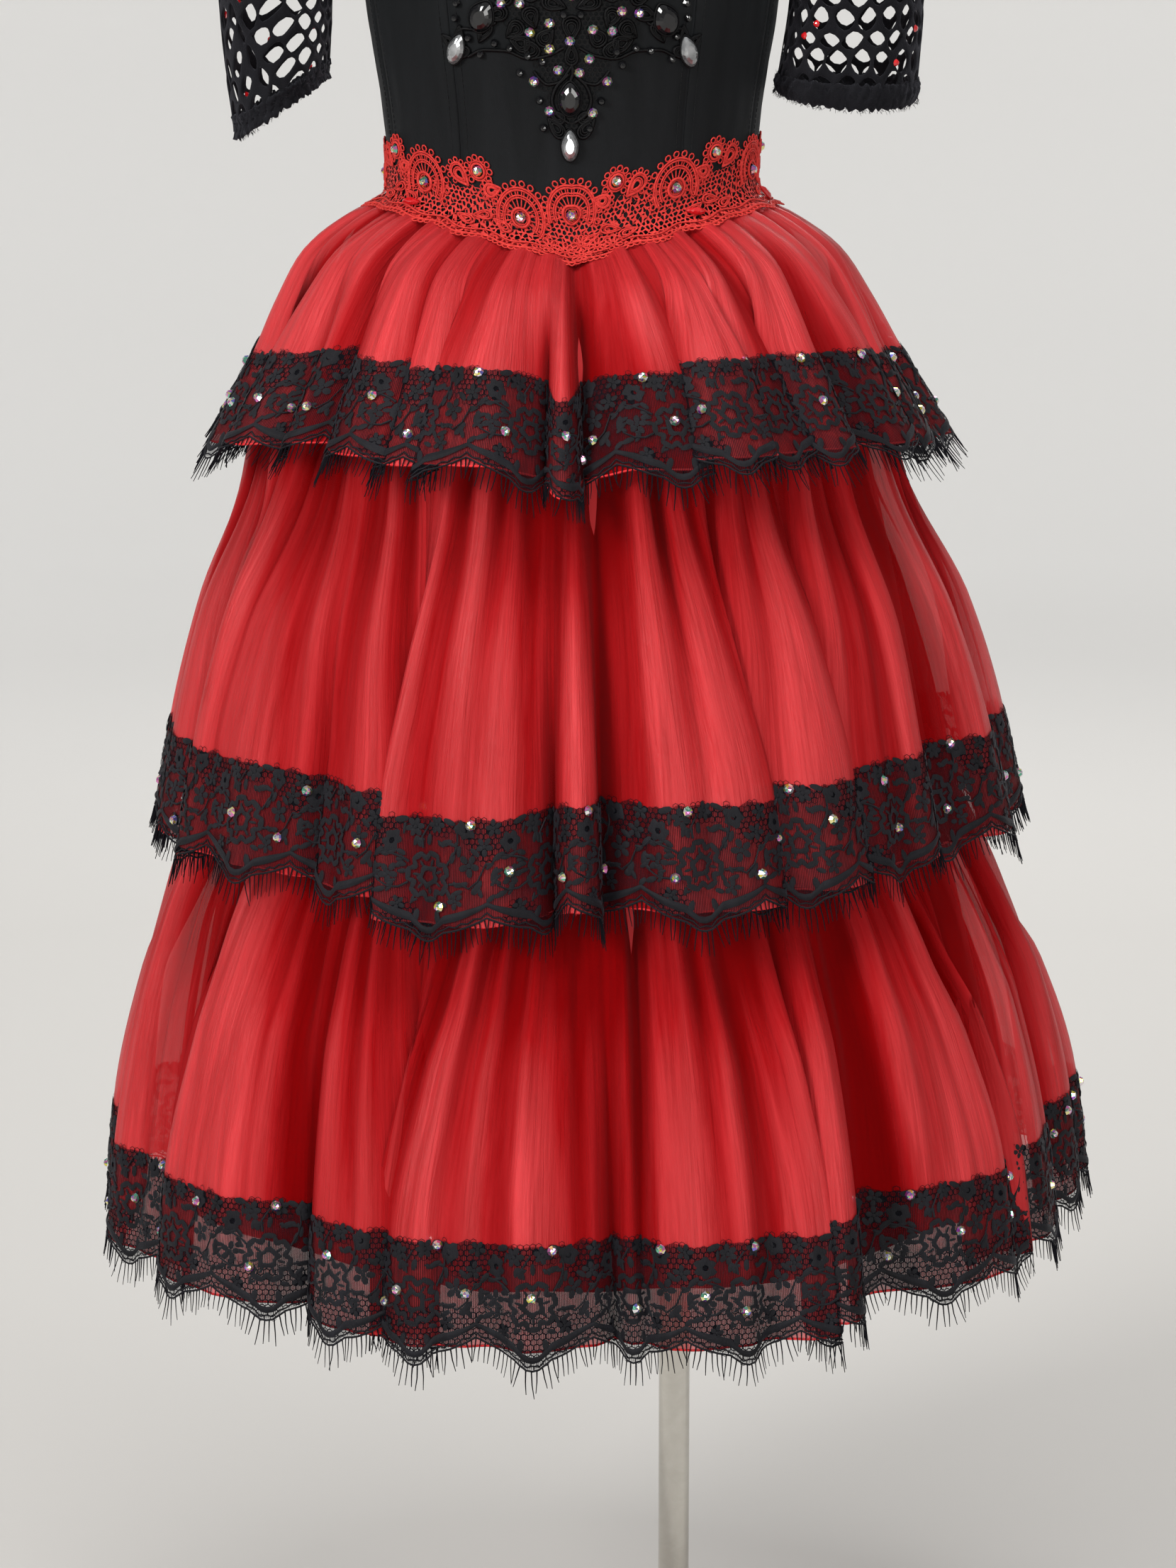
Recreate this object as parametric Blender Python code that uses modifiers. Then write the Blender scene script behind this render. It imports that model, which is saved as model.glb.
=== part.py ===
"""Three-tier tutu dress with a basque bodice, standing on a pole dress form.

Metres, +Z up. The garment faces -Y and +X is on the viewer's right.
The origin lies on the floor under the middle of the waist.
Angles go round the garment in degrees: 0 is the front, 90 is the +X side.
"""
import math
from collections import namedtuple

import bmesh
import bpy
from mathutils import Matrix, Vector

# Driving dimensions of the stand
POLE_RADIUS = 0.011
POLE_X = 0.072
BASE_RADIUS = 0.180
BASE_THICKNESS = 0.008
BASE_BEVEL = 0.0015
COLLAR_RADIUS = 0.024
COLLAR_HEIGHT = 0.030
COLLAR_NECK = 0.7
COLLAR_RIM = 0.3
FLANGE_RADIUS = 0.034
FLANGE_HEIGHT = 0.007
BASE_STEPS = 32
STAND_STEPS = 20
CAP_STEPS = 16
MERGE_DISTANCE = 0.00001
SHARP_ANGLE = 40.0

# Driving dimensions of the garment
TOUCH = 0.0003
SEAM_GAP = 0.0003
FORM_CLEARANCE = 0.0016
BODICE_WALL = 0.002
SKIRT_WALL = 0.0012
LACE_WALL = 0.001
SLEEVE_WALL = 0.0015
SIDE_SEAM_HEIGHT = 1.098
BASQUE_DROP = 0.031
BASQUE_REACH = 64.0
BASQUE_CURVE = 1.25
HANG_SHIFT = 0.0155
HANG_LENGTH = 0.70

# Shape of the pieces
PANEL_STEP = 9.0
BODICE_MEAN_RADIUS = 0.115
BODICE_LEVELS = (1.118, 1.230, 1.300)
UPPER_BODICE_LEVELS = (1.350, 1.400)
LEAST_ROW = 0.008
PLACKET_LEVELS = (1.148, 1.230, 1.300, 1.350, 1.400)
PLACKET_HALF_WIDTH = 6.0
FOLD_STEP = 5.0
FEWEST_FOLD_COLUMNS = 4
FOLD_FULLNESS = 0.55
GATHER_HEIGHT = 0.0022
FOLD_NEIGHBOURS = 1.1
WAIST_DIP_FADE = 1.6
LINING_COLUMNS = 32
LINING_TOP_DROP = 0.002
LINING_CLEARANCE = 0.0016
LINING_DIP_END = 1.0
STRAP_HEIGHTS = (1.480, 1.466, 1.4435)
STRAP_ANGLES = range(36, 145, 9)

# Lace trims and their fringe
LACE_LIFT = 0.0009
SCALLOP_PERIOD = 0.077
SCALLOP_TIP = 0.008
SCALLOP_RISE = 0.027
SCALLOP_POINT = 1.2
FRINGE_LENGTH = 0.014
FRINGE_STANDOFF = 0.0020
FRINGE_STRIP = 0.0015
STRAND_HALF_WIDTH = 0.0008

# Band of guipure lace over the waist seam
BAND_REPEATS = 8
BAND_COLUMNS = 6
BAND_HEIGHT = 0.028
BAND_SCALLOP = 0.010
BAND_POINT_RISE = 0.013
BAND_FLARE = 0.015
BAND_GAP_RIM = 0.0026
BAND_MIDDLE = 0.52
BAND_FOOT = 0.12
BAND_EDGE_DROP = 0.0015
BAND_GAPS = ((0, 2), (1, 0), (1, 3))

Section = namedtuple("Section", "height half_width front_depth back_depth")
Fold = namedtuple("Fold", "width depth lean drop")
SkirtRow = namedtuple("SkirtRow", "height half_width half_depth nested folds gathers")
Column = namedtuple("Column", "angle inset drop side")
Tier = namedtuple("Tier", "name rows folds top_follows_waist")
SleeveRow = namedtuple("SleeveRow", "x height half_width half_depth tilt front_drop")
Panel = namedtuple("Panel", "name start end")
Stone = namedtuple("Stone", "name x height length width turn lift colour")

FORM_SECTIONS = [
    Section(0.860, 0.135, 0.094, 0.100),
    Section(0.876, 0.157, 0.108, 0.118),
    Section(0.930, 0.165, 0.112, 0.122),
    Section(1.060, 0.1285, 0.091, 0.090),
    Section(1.118, 0.1202, 0.086, 0.081),
    Section(1.230, 0.1340, 0.104, 0.091),
    Section(1.300, 0.1430, 0.121, 0.095),
    Section(1.350, 0.1495, 0.120, 0.096),
    Section(1.400, 0.1585, 0.1015, 0.092),
    Section(1.442, 0.1680, 0.081, 0.084),
    Section(1.466, 0.1500, 0.067, 0.072),
    Section(1.490, 0.1000, 0.058, 0.063),
    Section(1.512, 0.0640, 0.054, 0.058),
    Section(1.570, 0.0560, 0.050, 0.054),
]

# Outer side of the neck cap: radius and height over the neck
NECK_CAP = [(0.0, 0.030), (0.010, 0.028), (0.013, 0.018), (0.040, 0.010), (0.048, 0.004), (0.047, 0.0), (0.0, 0.0)]

# Height of the bodice's upper edge by angle, the same on both sides
BODICE_TOP = [(0, 1.388), (18, 1.396), (36, 1.4425), (54, 1.4425), (63, 1.418), (72, 1.376), (90, 1.338),
              (108, 1.376), (117, 1.418), (126, 1.4425), (144, 1.4425), (162, 1.425), (180, 1.412)]

PANELS = [
    Panel("bodice_centre_front", -36, 36),
    Panel("bodice_side_front_right", 36, 72),
    Panel("bodice_side_front_left", -72, -36),
    Panel("bodice_side_right", 72, 108),
    Panel("bodice_side_left", -108, -72),
    Panel("bodice_side_back_right", 108, 144),
    Panel("bodice_side_back_left", -144, -108),
    Panel("bodice_back_right", 144, 180),
    Panel("bodice_back_left", -180, -144),
]

LINING_ROWS = [
    SkirtRow(1.080, 0.1450, 0.1140, 0, 0, 0),
    SkirtRow(1.050, 0.1620, 0.1400, 0, 0, 0),
    SkirtRow(0.985, 0.1838, 0.1680, 0, 0, 0),
    SkirtRow(0.860, 0.2110, 0.1960, 0, 0, 0),
    SkirtRow(0.730, 0.2345, 0.2204, 0, 0, 0),
    SkirtRow(0.425, 0.2950, 0.2800, 0, 0, 0),
]

# Folds start at the left side seam, cross the front, and go on round the back
TIER_1 = Tier(
    "tier_1",
    [SkirtRow(1.0860, 0.1480, 0.1200, 0, 0.05, 1.0),
     SkirtRow(1.0670, 0.1750, 0.1530, 0, 0.20, 1.2),
     SkirtRow(1.0360, 0.1970, 0.1790, 0, 0.60, 0.8),
     SkirtRow(1.0020, 0.2165, 0.2010, 0, 1.00, 0.0),
     SkirtRow(0.9460, 0.2490, 0.2340, 0, 1.00, 0.0)],
    [Fold(19, 0.016, 0.10, 0.004), Fold(18, 0.014, -0.10, 0.000), Fold(10, 0.020, 0.12, -0.006),
     Fold(12, 0.012, 0.10, -0.002), Fold(8, 0.011, 0.00, 0.002), Fold(18, 0.020, -0.14, 0.000),
     Fold(6, 0.023, 0.00, 0.020), Fold(18, 0.022, 0.14, 0.004), Fold(9, 0.015, 0.10, -0.004),
     Fold(10, 0.014, 0.10, -0.004), Fold(11, 0.012, 0.00, -0.004), Fold(13, 0.015, 0.10, -0.002),
     Fold(14, 0.013, -0.10, 0.002), Fold(14, 0.014, 0.10, 0.004), Fold(17, 0.017, 0.12, 0.000),
     Fold(21, 0.020, -0.12, -0.004), Fold(15, 0.014, 0.10, 0.002), Fold(23, 0.019, 0.08, 0.004),
     Fold(18, 0.018, -0.12, -0.002), Fold(22, 0.022, 0.12, 0.000), Fold(16, 0.015, -0.10, 0.004),
     Fold(24, 0.020, 0.14, 0.000), Fold(24, 0.017, -0.10, 0.002)],
    True)
TIER_2 = Tier(
    "tier_2",
    [SkirtRow(0.985, 0.1865, 0.1707, 0, 0.00, 0.3),
     SkirtRow(0.945, 0.2290, 0.2140, 1.0, 0.05, 0.6),
     SkirtRow(0.905, 0.2390, 0.2250, 0.8, 0.20, 0.3),
     SkirtRow(0.826, 0.2650, 0.2510, 0.2, 0.60, 0.0),
     SkirtRow(0.742, 0.2840, 0.2690, 0, 1.00, 0.0),
     SkirtRow(0.678, 0.2970, 0.2810, 0, 1.00, 0.0)],
    [Fold(27, 0.017, 0.10, -0.004), Fold(24, 0.018, -0.10, -0.002), Fold(15, 0.019, 0.12, 0.004),
     Fold(20, 0.022, -0.14, 0.018), Fold(6, 0.016, 0.00, 0.006), Fold(20, 0.023, 0.12, 0.008),
     Fold(14, 0.021, 0.12, 0.000), Fold(19, 0.017, -0.10, -0.006), Fold(18, 0.019, 0.12, -0.008),
     Fold(17, 0.015, 0.10, -0.010), Fold(29, 0.020, 0.12, 0.002), Fold(33, 0.022, -0.14, 0.008),
     Fold(26, 0.018, 0.10, 0.000), Fold(34, 0.022, 0.12, 0.006), Fold(28, 0.020, -0.12, -0.002),
     Fold(30, 0.019, 0.10, 0.002)],
    False)
TIER_3 = Tier(
    "tier_3",
    [SkirtRow(0.730, 0.2372, 0.2229, 0, 0.00, 0.3),
     SkirtRow(0.660, 0.2860, 0.2710, 1.0, 0.05, 0.6),
     SkirtRow(0.618, 0.3030, 0.2880, 0.8, 0.25, 0.3),
     SkirtRow(0.566, 0.3165, 0.3010, 0.3, 0.60, 0.0),
     SkirtRow(0.469, 0.3340, 0.3190, 0, 1.00, 0.0),
     SkirtRow(0.405, 0.3410, 0.3260, 0, 1.00, 0.0)],
    [Fold(30, 0.018, 0.10, 0.004), Fold(23, 0.020, -0.10, 0.002), Fold(15, 0.024, 0.12, 0.006),
     Fold(24, 0.022, -0.14, 0.008), Fold(24, 0.026, 0.12, 0.008), Fold(6, 0.018, 0.00, 0.000),
     Fold(24, 0.024, 0.12, -0.008), Fold(17, 0.022, -0.10, -0.014), Fold(17, 0.016, 0.10, -0.022),
     Fold(28, 0.022, 0.12, -0.008), Fold(32, 0.024, -0.14, 0.004), Fold(25, 0.020, 0.10, 0.000),
     Fold(36, 0.026, 0.12, 0.008), Fold(29, 0.022, -0.12, 0.000), Fold(30, 0.020, 0.10, 0.004)],
    False)

SLEEVE_RIGHT = [
    SleeveRow(0.1632, 1.3930, 0.0560, 0.052, 80, 0.0),
    SleeveRow(0.1830, 1.3600, 0.0540, 0.057, 58, 0.0),
    SleeveRow(0.1910, 1.3230, 0.0510, 0.059, 35, 0.0),
    SleeveRow(0.1910, 1.2800, 0.0470, 0.059, 14, 0.0),
    SleeveRow(0.1895, 1.2300, 0.0440, 0.057, 3, 0.0),
    SleeveRow(0.1840, 1.1795, 0.0460, 0.054, -2, 0.004),
    SleeveRow(0.1830, 1.1675, 0.0460, 0.052, -3, 0.009),
]
SLEEVE_LEFT = [
    SleeveRow(0.1632, 1.3930, 0.0560, 0.052, 80, 0.0),
    SleeveRow(0.1830, 1.3600, 0.0540, 0.057, 58, 0.0),
    SleeveRow(0.1930, 1.3230, 0.0490, 0.059, 35, 0.0),
    SleeveRow(0.1960, 1.2800, 0.0430, 0.059, 12, 0.0),
    SleeveRow(0.1970, 1.2300, 0.0370, 0.058, -6, 0.0),
    SleeveRow(0.1945, 1.1725, 0.0370, 0.056, -30, 0.003),
    SleeveRow(0.1940, 1.1590, 0.0370, 0.054, -33, 0.004),
]
SLEEVE_COLUMNS = 16

# Appliqué outline by height: half width of the corded lace on the centre front
APPLIQUE_ROWS = [(1.140, 0.006), (1.160, 0.017), (1.190, 0.030), (1.215, 0.050), (1.240, 0.060),
                 (1.265, 0.034)]
APPLIQUE_COLUMNS = 6
APPLIQUE_WALL = 0.0012
APPLIQUE_LIFT = 0.0009
STONE_HEIGHT = 0.005
ON_CORD = APPLIQUE_LIFT + APPLIQUE_WALL + 0.0008
ON_CLOTH = 0.0004

STONE_SIDES = 8
STONE_TAPER = 0.38
STONE_POINT = 1.5
STONE_LAYERS = ((0.0, 0.86), (0.35, 1.0), (1.0, 0.5))
FRONT_STEP = 0.004

BLACK_STONE = (0.02, 0.02, 0.025)
GREY_STONE = (0.35, 0.36, 0.37)
STONES = [
    Stone("stone_black_left", -0.058, 1.2235, 0.021, 0.014, 28, ON_CORD, BLACK_STONE),
    Stone("stone_black_right", 0.058, 1.2225, 0.021, 0.014, -28, ON_CORD, BLACK_STONE),
    Stone("stone_black_centre", -0.001, 1.1680, 0.020, 0.013, 0, ON_CORD, BLACK_STONE),
    Stone("stone_grey_left", -0.076, 1.1990, 0.019, 0.010, 152, ON_CLOTH, GREY_STONE),
    Stone("stone_grey_right", 0.074, 1.1980, 0.019, 0.010, -152, ON_CLOTH, GREY_STONE),
    Stone("stone_grey_centre", -0.001, 1.1420, 0.017, 0.009, 0, ON_CORD, GREY_STONE),
]


def clear_scene():
    """Remove every object of the scene."""
    for item in list(bpy.data.objects):
        bpy.data.objects.remove(item, do_unlink=True)


def material(name, colour, roughness, metallic=0.0):
    """Return a Principled material of this colour."""
    made = bpy.data.materials.new(name)
    made.use_nodes = True
    shader = made.node_tree.nodes["Principled BSDF"]
    shader.inputs["Base Color"].default_value = (*colour, 1.0)
    shader.inputs["Roughness"].default_value = roughness
    shader.inputs["Metallic"].default_value = metallic
    return made


def add_object(name, mesh, finish, collection):
    """Link a mesh as an object of the part, shaded smooth."""
    item = bpy.data.objects.new(name, mesh)
    mesh.materials.append(finish)
    mesh.shade_smooth()
    mesh.set_sharp_from_angle(angle=math.radians(SHARP_ANGLE))
    collection.objects.link(item)
    return item


def interpolate(table, at):
    """Read a value from a table of pairs, straight between its rows."""
    for (low, low_value), (high, high_value) in zip(table, table[1:]):
        if at <= high:
            share = (at - low) / (high - low)
            return low_value + (high_value - low_value) * share
    return table[-1][1]


def form_section(height):
    """Section of the dress form at a height."""
    for low, high in zip(FORM_SECTIONS, FORM_SECTIONS[1:]):
        if height <= high.height:
            share = (height - low.height) / (high.height - low.height)
            return Section(*(a + (b - a) * share for a, b in zip(low, high)))
    return FORM_SECTIONS[-1]


def oval_point(section, degrees, outward=0.0):
    """Point of an oval section, moved outward from it."""
    angle = math.radians(degrees)
    depth = section.front_depth if math.cos(angle) > 0 else section.back_depth
    return Vector(((section.half_width + outward) * math.sin(angle),
                   -(depth + outward) * math.cos(angle),
                   section.height))


def basque_share(degrees):
    """1 at the basque point, 0 where the waist seam runs level."""
    return 1.0 - min(abs(degrees) / BASQUE_REACH, 1.0)


def seam_height(degrees):
    """Height of the waist seam, which dips to a basque point at the front."""
    return SIDE_SEAM_HEIGHT - BASQUE_DROP * basque_share(degrees) ** BASQUE_CURVE


def bodice_point(degrees, height, outward):
    """Point on the bodice's inner face, moved outward."""
    return oval_point(form_section(height), degrees, FORM_CLEARANCE + outward)


def hang_shift(height):
    """Sideways shift of the skirt, which hangs a little towards the pole."""
    return HANG_SHIFT * max(0.0, SIDE_SEAM_HEIGHT - height) / HANG_LENGTH


def grid_mesh(name, rows, closed):
    """Mesh of a grid of points, rows from top to bottom, faces pointing outwards."""
    mesh = bpy.data.meshes.new(name)
    shape = bmesh.new()
    lines = [[shape.verts.new(point) for point in row] for row in rows]
    count = len(rows[0])
    for upper, lower in zip(lines, lines[1:]):
        for k in range(count if closed else count - 1):
            after = (k + 1) % count
            shape.faces.new((upper[k], lower[k], lower[after], upper[after]))
    shape.normal_update()
    shape.to_mesh(mesh)
    shape.free()
    return mesh


def moved_out(rows, distance, closed=True):
    """The same grid of points, moved out from its surface by an even distance."""
    mesh = grid_mesh("offset_guide", rows, closed)
    shape = bmesh.new()
    shape.from_mesh(mesh)
    shape.normal_update()
    moved = [vertex.co + vertex.normal * distance * vertex.calc_shell_factor()
             for vertex in shape.verts]
    shape.free()
    bpy.data.meshes.remove(mesh)
    count = len(rows[0])
    return [moved[start:start + count] for start in range(0, len(moved), count)]


def add_wall(name, rows, finish, collection, thickness, outward, closed=True):
    """Cloth wall: a grid of points with an even thickness."""
    item = add_object(name, grid_mesh(name, rows, closed), finish, collection)
    wall = item.modifiers.new("Wall", "SOLIDIFY")
    wall.thickness = thickness
    wall.offset = 1.0 if outward else -1.0
    wall.use_even_offset = True
    wall.use_quality_normals = True
    return item


def add_turned(name, profile, steps, finish, collection, at=(0.0, 0.0, 0.0)):
    """Turned piece: a profile in XZ, outer side from top to bottom, spun round Z."""
    mesh = bpy.data.meshes.new(name)
    shape = bmesh.new()
    points = [shape.verts.new((radius, 0.0, height)) for radius, height in profile]
    ends_on_axis = profile[0][0] == 0.0
    pairs = list(zip(points, points[1:]))
    if not ends_on_axis:
        pairs.append((points[-1], points[0]))
    for first, second in pairs:
        shape.edges.new((first, second))
    shape.to_mesh(mesh)
    shape.free()
    item = add_object(name, mesh, finish, collection)
    item.location = at
    spin = item.modifiers.new("Turn", "SCREW")
    spin.steps = steps
    spin.render_steps = steps
    spin.use_merge_vertices = True
    spin.merge_threshold = MERGE_DISTANCE
    return item


def build_stand(collection):
    """Base plate, pole, its collar on the base and its flange under the form."""
    chrome = material("chrome", (0.78, 0.79, 0.80), 0.12, 1.0)
    bevel = BASE_BEVEL
    add_turned("base_plate",
               [(0.0, BASE_THICKNESS), (BASE_RADIUS - bevel, BASE_THICKNESS),
                (BASE_RADIUS, BASE_THICKNESS - bevel), (BASE_RADIUS, bevel / 2),
                (BASE_RADIUS - bevel / 2, 0.0), (0.0, 0.0)],
               BASE_STEPS, chrome, collection, (POLE_X, 0.0, 0.0))
    foot = BASE_THICKNESS + TOUCH
    top = FORM_SECTIONS[0].height - TOUCH
    bpy.ops.mesh.primitive_cylinder_add(vertices=STAND_STEPS, radius=POLE_RADIUS, depth=top - foot,
                                        location=(POLE_X, 0.0, (top + foot) / 2))
    pole = bpy.context.object
    pole.name = "pole"
    pole.data.materials.append(chrome)
    for owner in list(pole.users_collection):
        owner.objects.unlink(pole)
    collection.objects.link(pole)
    inside = POLE_RADIUS + TOUCH
    add_turned("base_collar",
               [(inside, foot + COLLAR_HEIGHT), (COLLAR_RADIUS * COLLAR_NECK, foot + COLLAR_HEIGHT),
                (COLLAR_RADIUS, foot + COLLAR_HEIGHT * COLLAR_RIM), (COLLAR_RADIUS, foot),
                (inside, foot)],
               STAND_STEPS, chrome, collection, (POLE_X, 0.0, 0.0))
    add_turned("form_flange",
               [(inside, top), (FLANGE_RADIUS, top), (FLANGE_RADIUS, top - FLANGE_HEIGHT),
                (inside, top - FLANGE_HEIGHT)],
               STAND_STEPS, chrome, collection, (POLE_X, 0.0, 0.0))


def build_form(collection):
    """Limbless dress form, a closed body, with a cap on its neck."""
    cloth = material("form_cover", (0.62, 0.58, 0.52), 0.85)
    angles = [-180 + PANEL_STEP * k for k in range(int(360 / PANEL_STEP))]
    rows = [[oval_point(section, angle) for angle in angles]
            for section in reversed(FORM_SECTIONS)]
    mesh = grid_mesh("form_torso", rows, True)
    shape = bmesh.new()
    shape.from_mesh(mesh)
    bmesh.ops.holes_fill(shape, edges=shape.edges, sides=0)
    bmesh.ops.recalc_face_normals(shape, faces=shape.faces)
    shape.to_mesh(mesh)
    shape.free()
    add_object("form_torso", mesh, cloth, collection)
    wood = material("neck_cap", (0.30, 0.19, 0.11), 0.45)
    top = FORM_SECTIONS[-1].height + TOUCH
    add_turned("neck_cap", [(radius, top + height) for radius, height in NECK_CAP],
               CAP_STEPS, wood, collection)


def bodice_top(degrees):
    """Height of the bodice's upper edge at an angle."""
    return interpolate(BODICE_TOP, abs(degrees))


def panel_heights(degrees):
    """Heights of a panel's rows at an angle, from its upper edge to the waist seam."""
    top = bodice_top(degrees)
    passed = [level for level in UPPER_BODICE_LEVELS if level < top - LEAST_ROW]
    last = passed[-1] if passed else BODICE_LEVELS[-1]
    missing = len(UPPER_BODICE_LEVELS) - len(passed)
    filled = [last + (top - last) * k / (missing + 1) for k in range(1, missing + 1)]
    rising = [seam_height(degrees), *BODICE_LEVELS, *passed, *filled, top]
    return rising[::-1]


def panel_rows(start, end):
    """Grid of a bodice panel's inner face, with half a seam gap left at its sides."""
    count = int(round((end - start) / PANEL_STEP))
    angles = [start + PANEL_STEP * k for k in range(count + 1)]
    trim = math.degrees(SEAM_GAP / 2 / BODICE_MEAN_RADIUS)
    angles[0] += trim
    angles[-1] -= trim
    columns = [panel_heights(angle) for angle in angles]
    return [[bodice_point(angle, heights[row], 0.0) for angle, heights in zip(angles, columns)]
            for row in range(len(columns[0]))]


def build_bodice(collection):
    """Nine bodice panels, two shoulder straps and the placket of the back closure."""
    cloth = material("bodice_cloth", (0.035, 0.035, 0.037), 0.6)
    for panel in PANELS:
        add_wall(panel.name, panel_rows(panel.start, panel.end), cloth, collection,
                 BODICE_WALL, True, closed=False)
    for side, name in ((1, "strap_right"), (-1, "strap_left")):
        angles = [side * angle for angle in STRAP_ANGLES]
        if side < 0:
            angles.reverse()
        rows = [[bodice_point(angle, height, 0.0) for angle in angles]
                for height in STRAP_HEIGHTS]
        add_wall(name, rows, cloth, collection, BODICE_WALL, True, closed=False)
    lift = BODICE_WALL + TOUCH
    angles = [180.0 + PLACKET_HALF_WIDTH * side for side in (-1, 0, 1)]
    rows = [[bodice_point(angle, height, lift) for angle in angles]
            for height in reversed(PLACKET_LEVELS)]
    add_wall("back_placket", rows, cloth, collection, LACE_WALL, True, closed=False)


def fold_columns(folds):
    """Columns of a tier: angle, inset from the crest line, hem drop and gather side."""
    columns = []
    start = -90.0
    for fold in folds:
        count = max(FEWEST_FOLD_COLUMNS, round(fold.width / FOLD_STEP))
        for k in range(count):
            share = k / count
            crest = math.sin(math.pi * share) ** FOLD_FULLNESS
            lean = fold.lean * math.sin(math.pi * share)
            angle = start + fold.width * (share + lean)
            side = 1 if len(columns) % 2 else -1
            columns.append(Column(angle, fold.depth * (1.0 - crest), fold.drop * crest, side))
        start += fold.width
    return columns


def wrap_angle(degrees):
    """The same angle between -180 and 180."""
    return (degrees + 180.0) % 360.0 - 180.0


def inset_near(columns, degrees):
    """Deepest inset of a tier's hem near an angle, which the tier below keeps inside."""
    if not columns:
        return 0.0
    reach = FOLD_STEP * FOLD_NEIGHBOURS
    near = [column.inset for column in columns
            if abs(wrap_angle(column.angle - degrees)) <= reach]
    return max(near, default=0.0)


def skirt_point(row, column, height, upper_inset):
    """Point of a skirt section at one column of its folds."""
    inset = row.nested * upper_inset + row.folds * column.inset
    inset += row.gathers * GATHER_HEIGHT * column.side
    angle = math.radians(column.angle)
    return Vector(((row.half_width - inset) * math.sin(angle) + hang_shift(height),
                   -(row.half_depth - inset) * math.cos(angle),
                   height))


def tier_rows(tier, columns, upper_columns):
    """Grid of a tier's outer face, from its gathered top to its hem."""
    rows = []
    if tier.top_follows_waist:
        angles = [wrap_angle(column.angle) for column in columns]
        rows.append([bodice_point(angle, seam_height(angle), BODICE_WALL) - Vector((0.0, 0.0, SEAM_GAP))
                     for angle in angles])
    for row in tier.rows:
        line = []
        for column in columns:
            dip = 0.0
            if tier.top_follows_waist:
                waist_dip = SIDE_SEAM_HEIGHT - seam_height(wrap_angle(column.angle))
                down = (SIDE_SEAM_HEIGHT - row.height) / (SIDE_SEAM_HEIGHT - tier.rows[-1].height)
                dip = waist_dip * max(0.0, 1.0 - down * WAIST_DIP_FADE)
            height = row.height - dip - column.drop * row.folds
            line.append(skirt_point(row, column, height, inset_near(upper_columns, column.angle)))
        rows.append(line)
    return rows


def scallop_drops(line):
    """How far the lace's lower edge lies below the hem at each point of a closed line."""
    lengths = [(line[k] - line[k - 1]).length for k in range(len(line))]
    total = sum(lengths)
    period = total / round(total / SCALLOP_PERIOD)
    drops = []
    travelled = 0.0
    for k in range(len(line)):
        travelled += lengths[k]
        wave = (0.5 + 0.5 * math.cos(2.0 * math.pi * travelled / period)) ** SCALLOP_POINT
        drops.append(SCALLOP_TIP - SCALLOP_RISE * (1.0 - wave))
    return drops


def lace_rows(rows):
    """Grid of a lace trim's inner face: the tier's last two rows, scalloped and moved out."""
    upper, hem = rows[-2], rows[-1]
    lower = [low + (low - high).normalized() * drop
             for high, low, drop in zip(upper, hem, scallop_drops(hem))]
    return moved_out([upper, lower], LACE_LIFT)


def add_fringe(name, rows, finish, collection):
    """Eyelash fringe: a narrow three-sided strip under the scalloped edge, with strands."""
    lines = [moved_out(rows, FRINGE_STANDOFF + FRINGE_STRIP * share)[1] for share in (0.5, 1.0, 0.0)]
    upper, lower = rows
    count = len(lower)
    mesh = bpy.data.meshes.new(name)
    shape = bmesh.new()
    stations = []
    for k in range(count):
        down = (lower[k] - upper[k]).normalized()
        along = (lower[(k + 1) % count] - lower[k - 1]).normalized()
        has_strand = k % 2 == 0
        for slide in ((-STRAND_HALF_WIDTH, STRAND_HALF_WIDTH) if has_strand else (0.0,)):
            ring = [shape.verts.new(line[k] + along * slide + down * FRINGE_STRIP * drop)
                    for line, drop in zip(lines, (0.0, 1.0, 1.0))]
            stations.append((ring, down, has_strand and slide < 0.0))
    for k, (here, down, starts_strand) in enumerate(stations):
        there = stations[(k + 1) % len(stations)][0]
        shape.faces.new((here[0], here[1], there[1], there[0]))
        shape.faces.new((here[2], here[0], there[0], there[2]))
        if not starts_strand:
            shape.faces.new((here[1], here[2], there[2], there[1]))
            continue
        middle = (here[1].co + here[2].co + there[1].co + there[2].co) / 4
        tip = shape.verts.new(middle + down * FRINGE_LENGTH)
        ring = (here[1], here[2], there[2], there[1])
        for first, second in zip(ring, ring[1:] + ring[:1]):
            shape.faces.new((first, second, tip))
    bmesh.ops.recalc_face_normals(shape, faces=shape.faces)
    shape.to_mesh(mesh)
    shape.free()
    return add_object(name, mesh, finish, collection)


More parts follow.
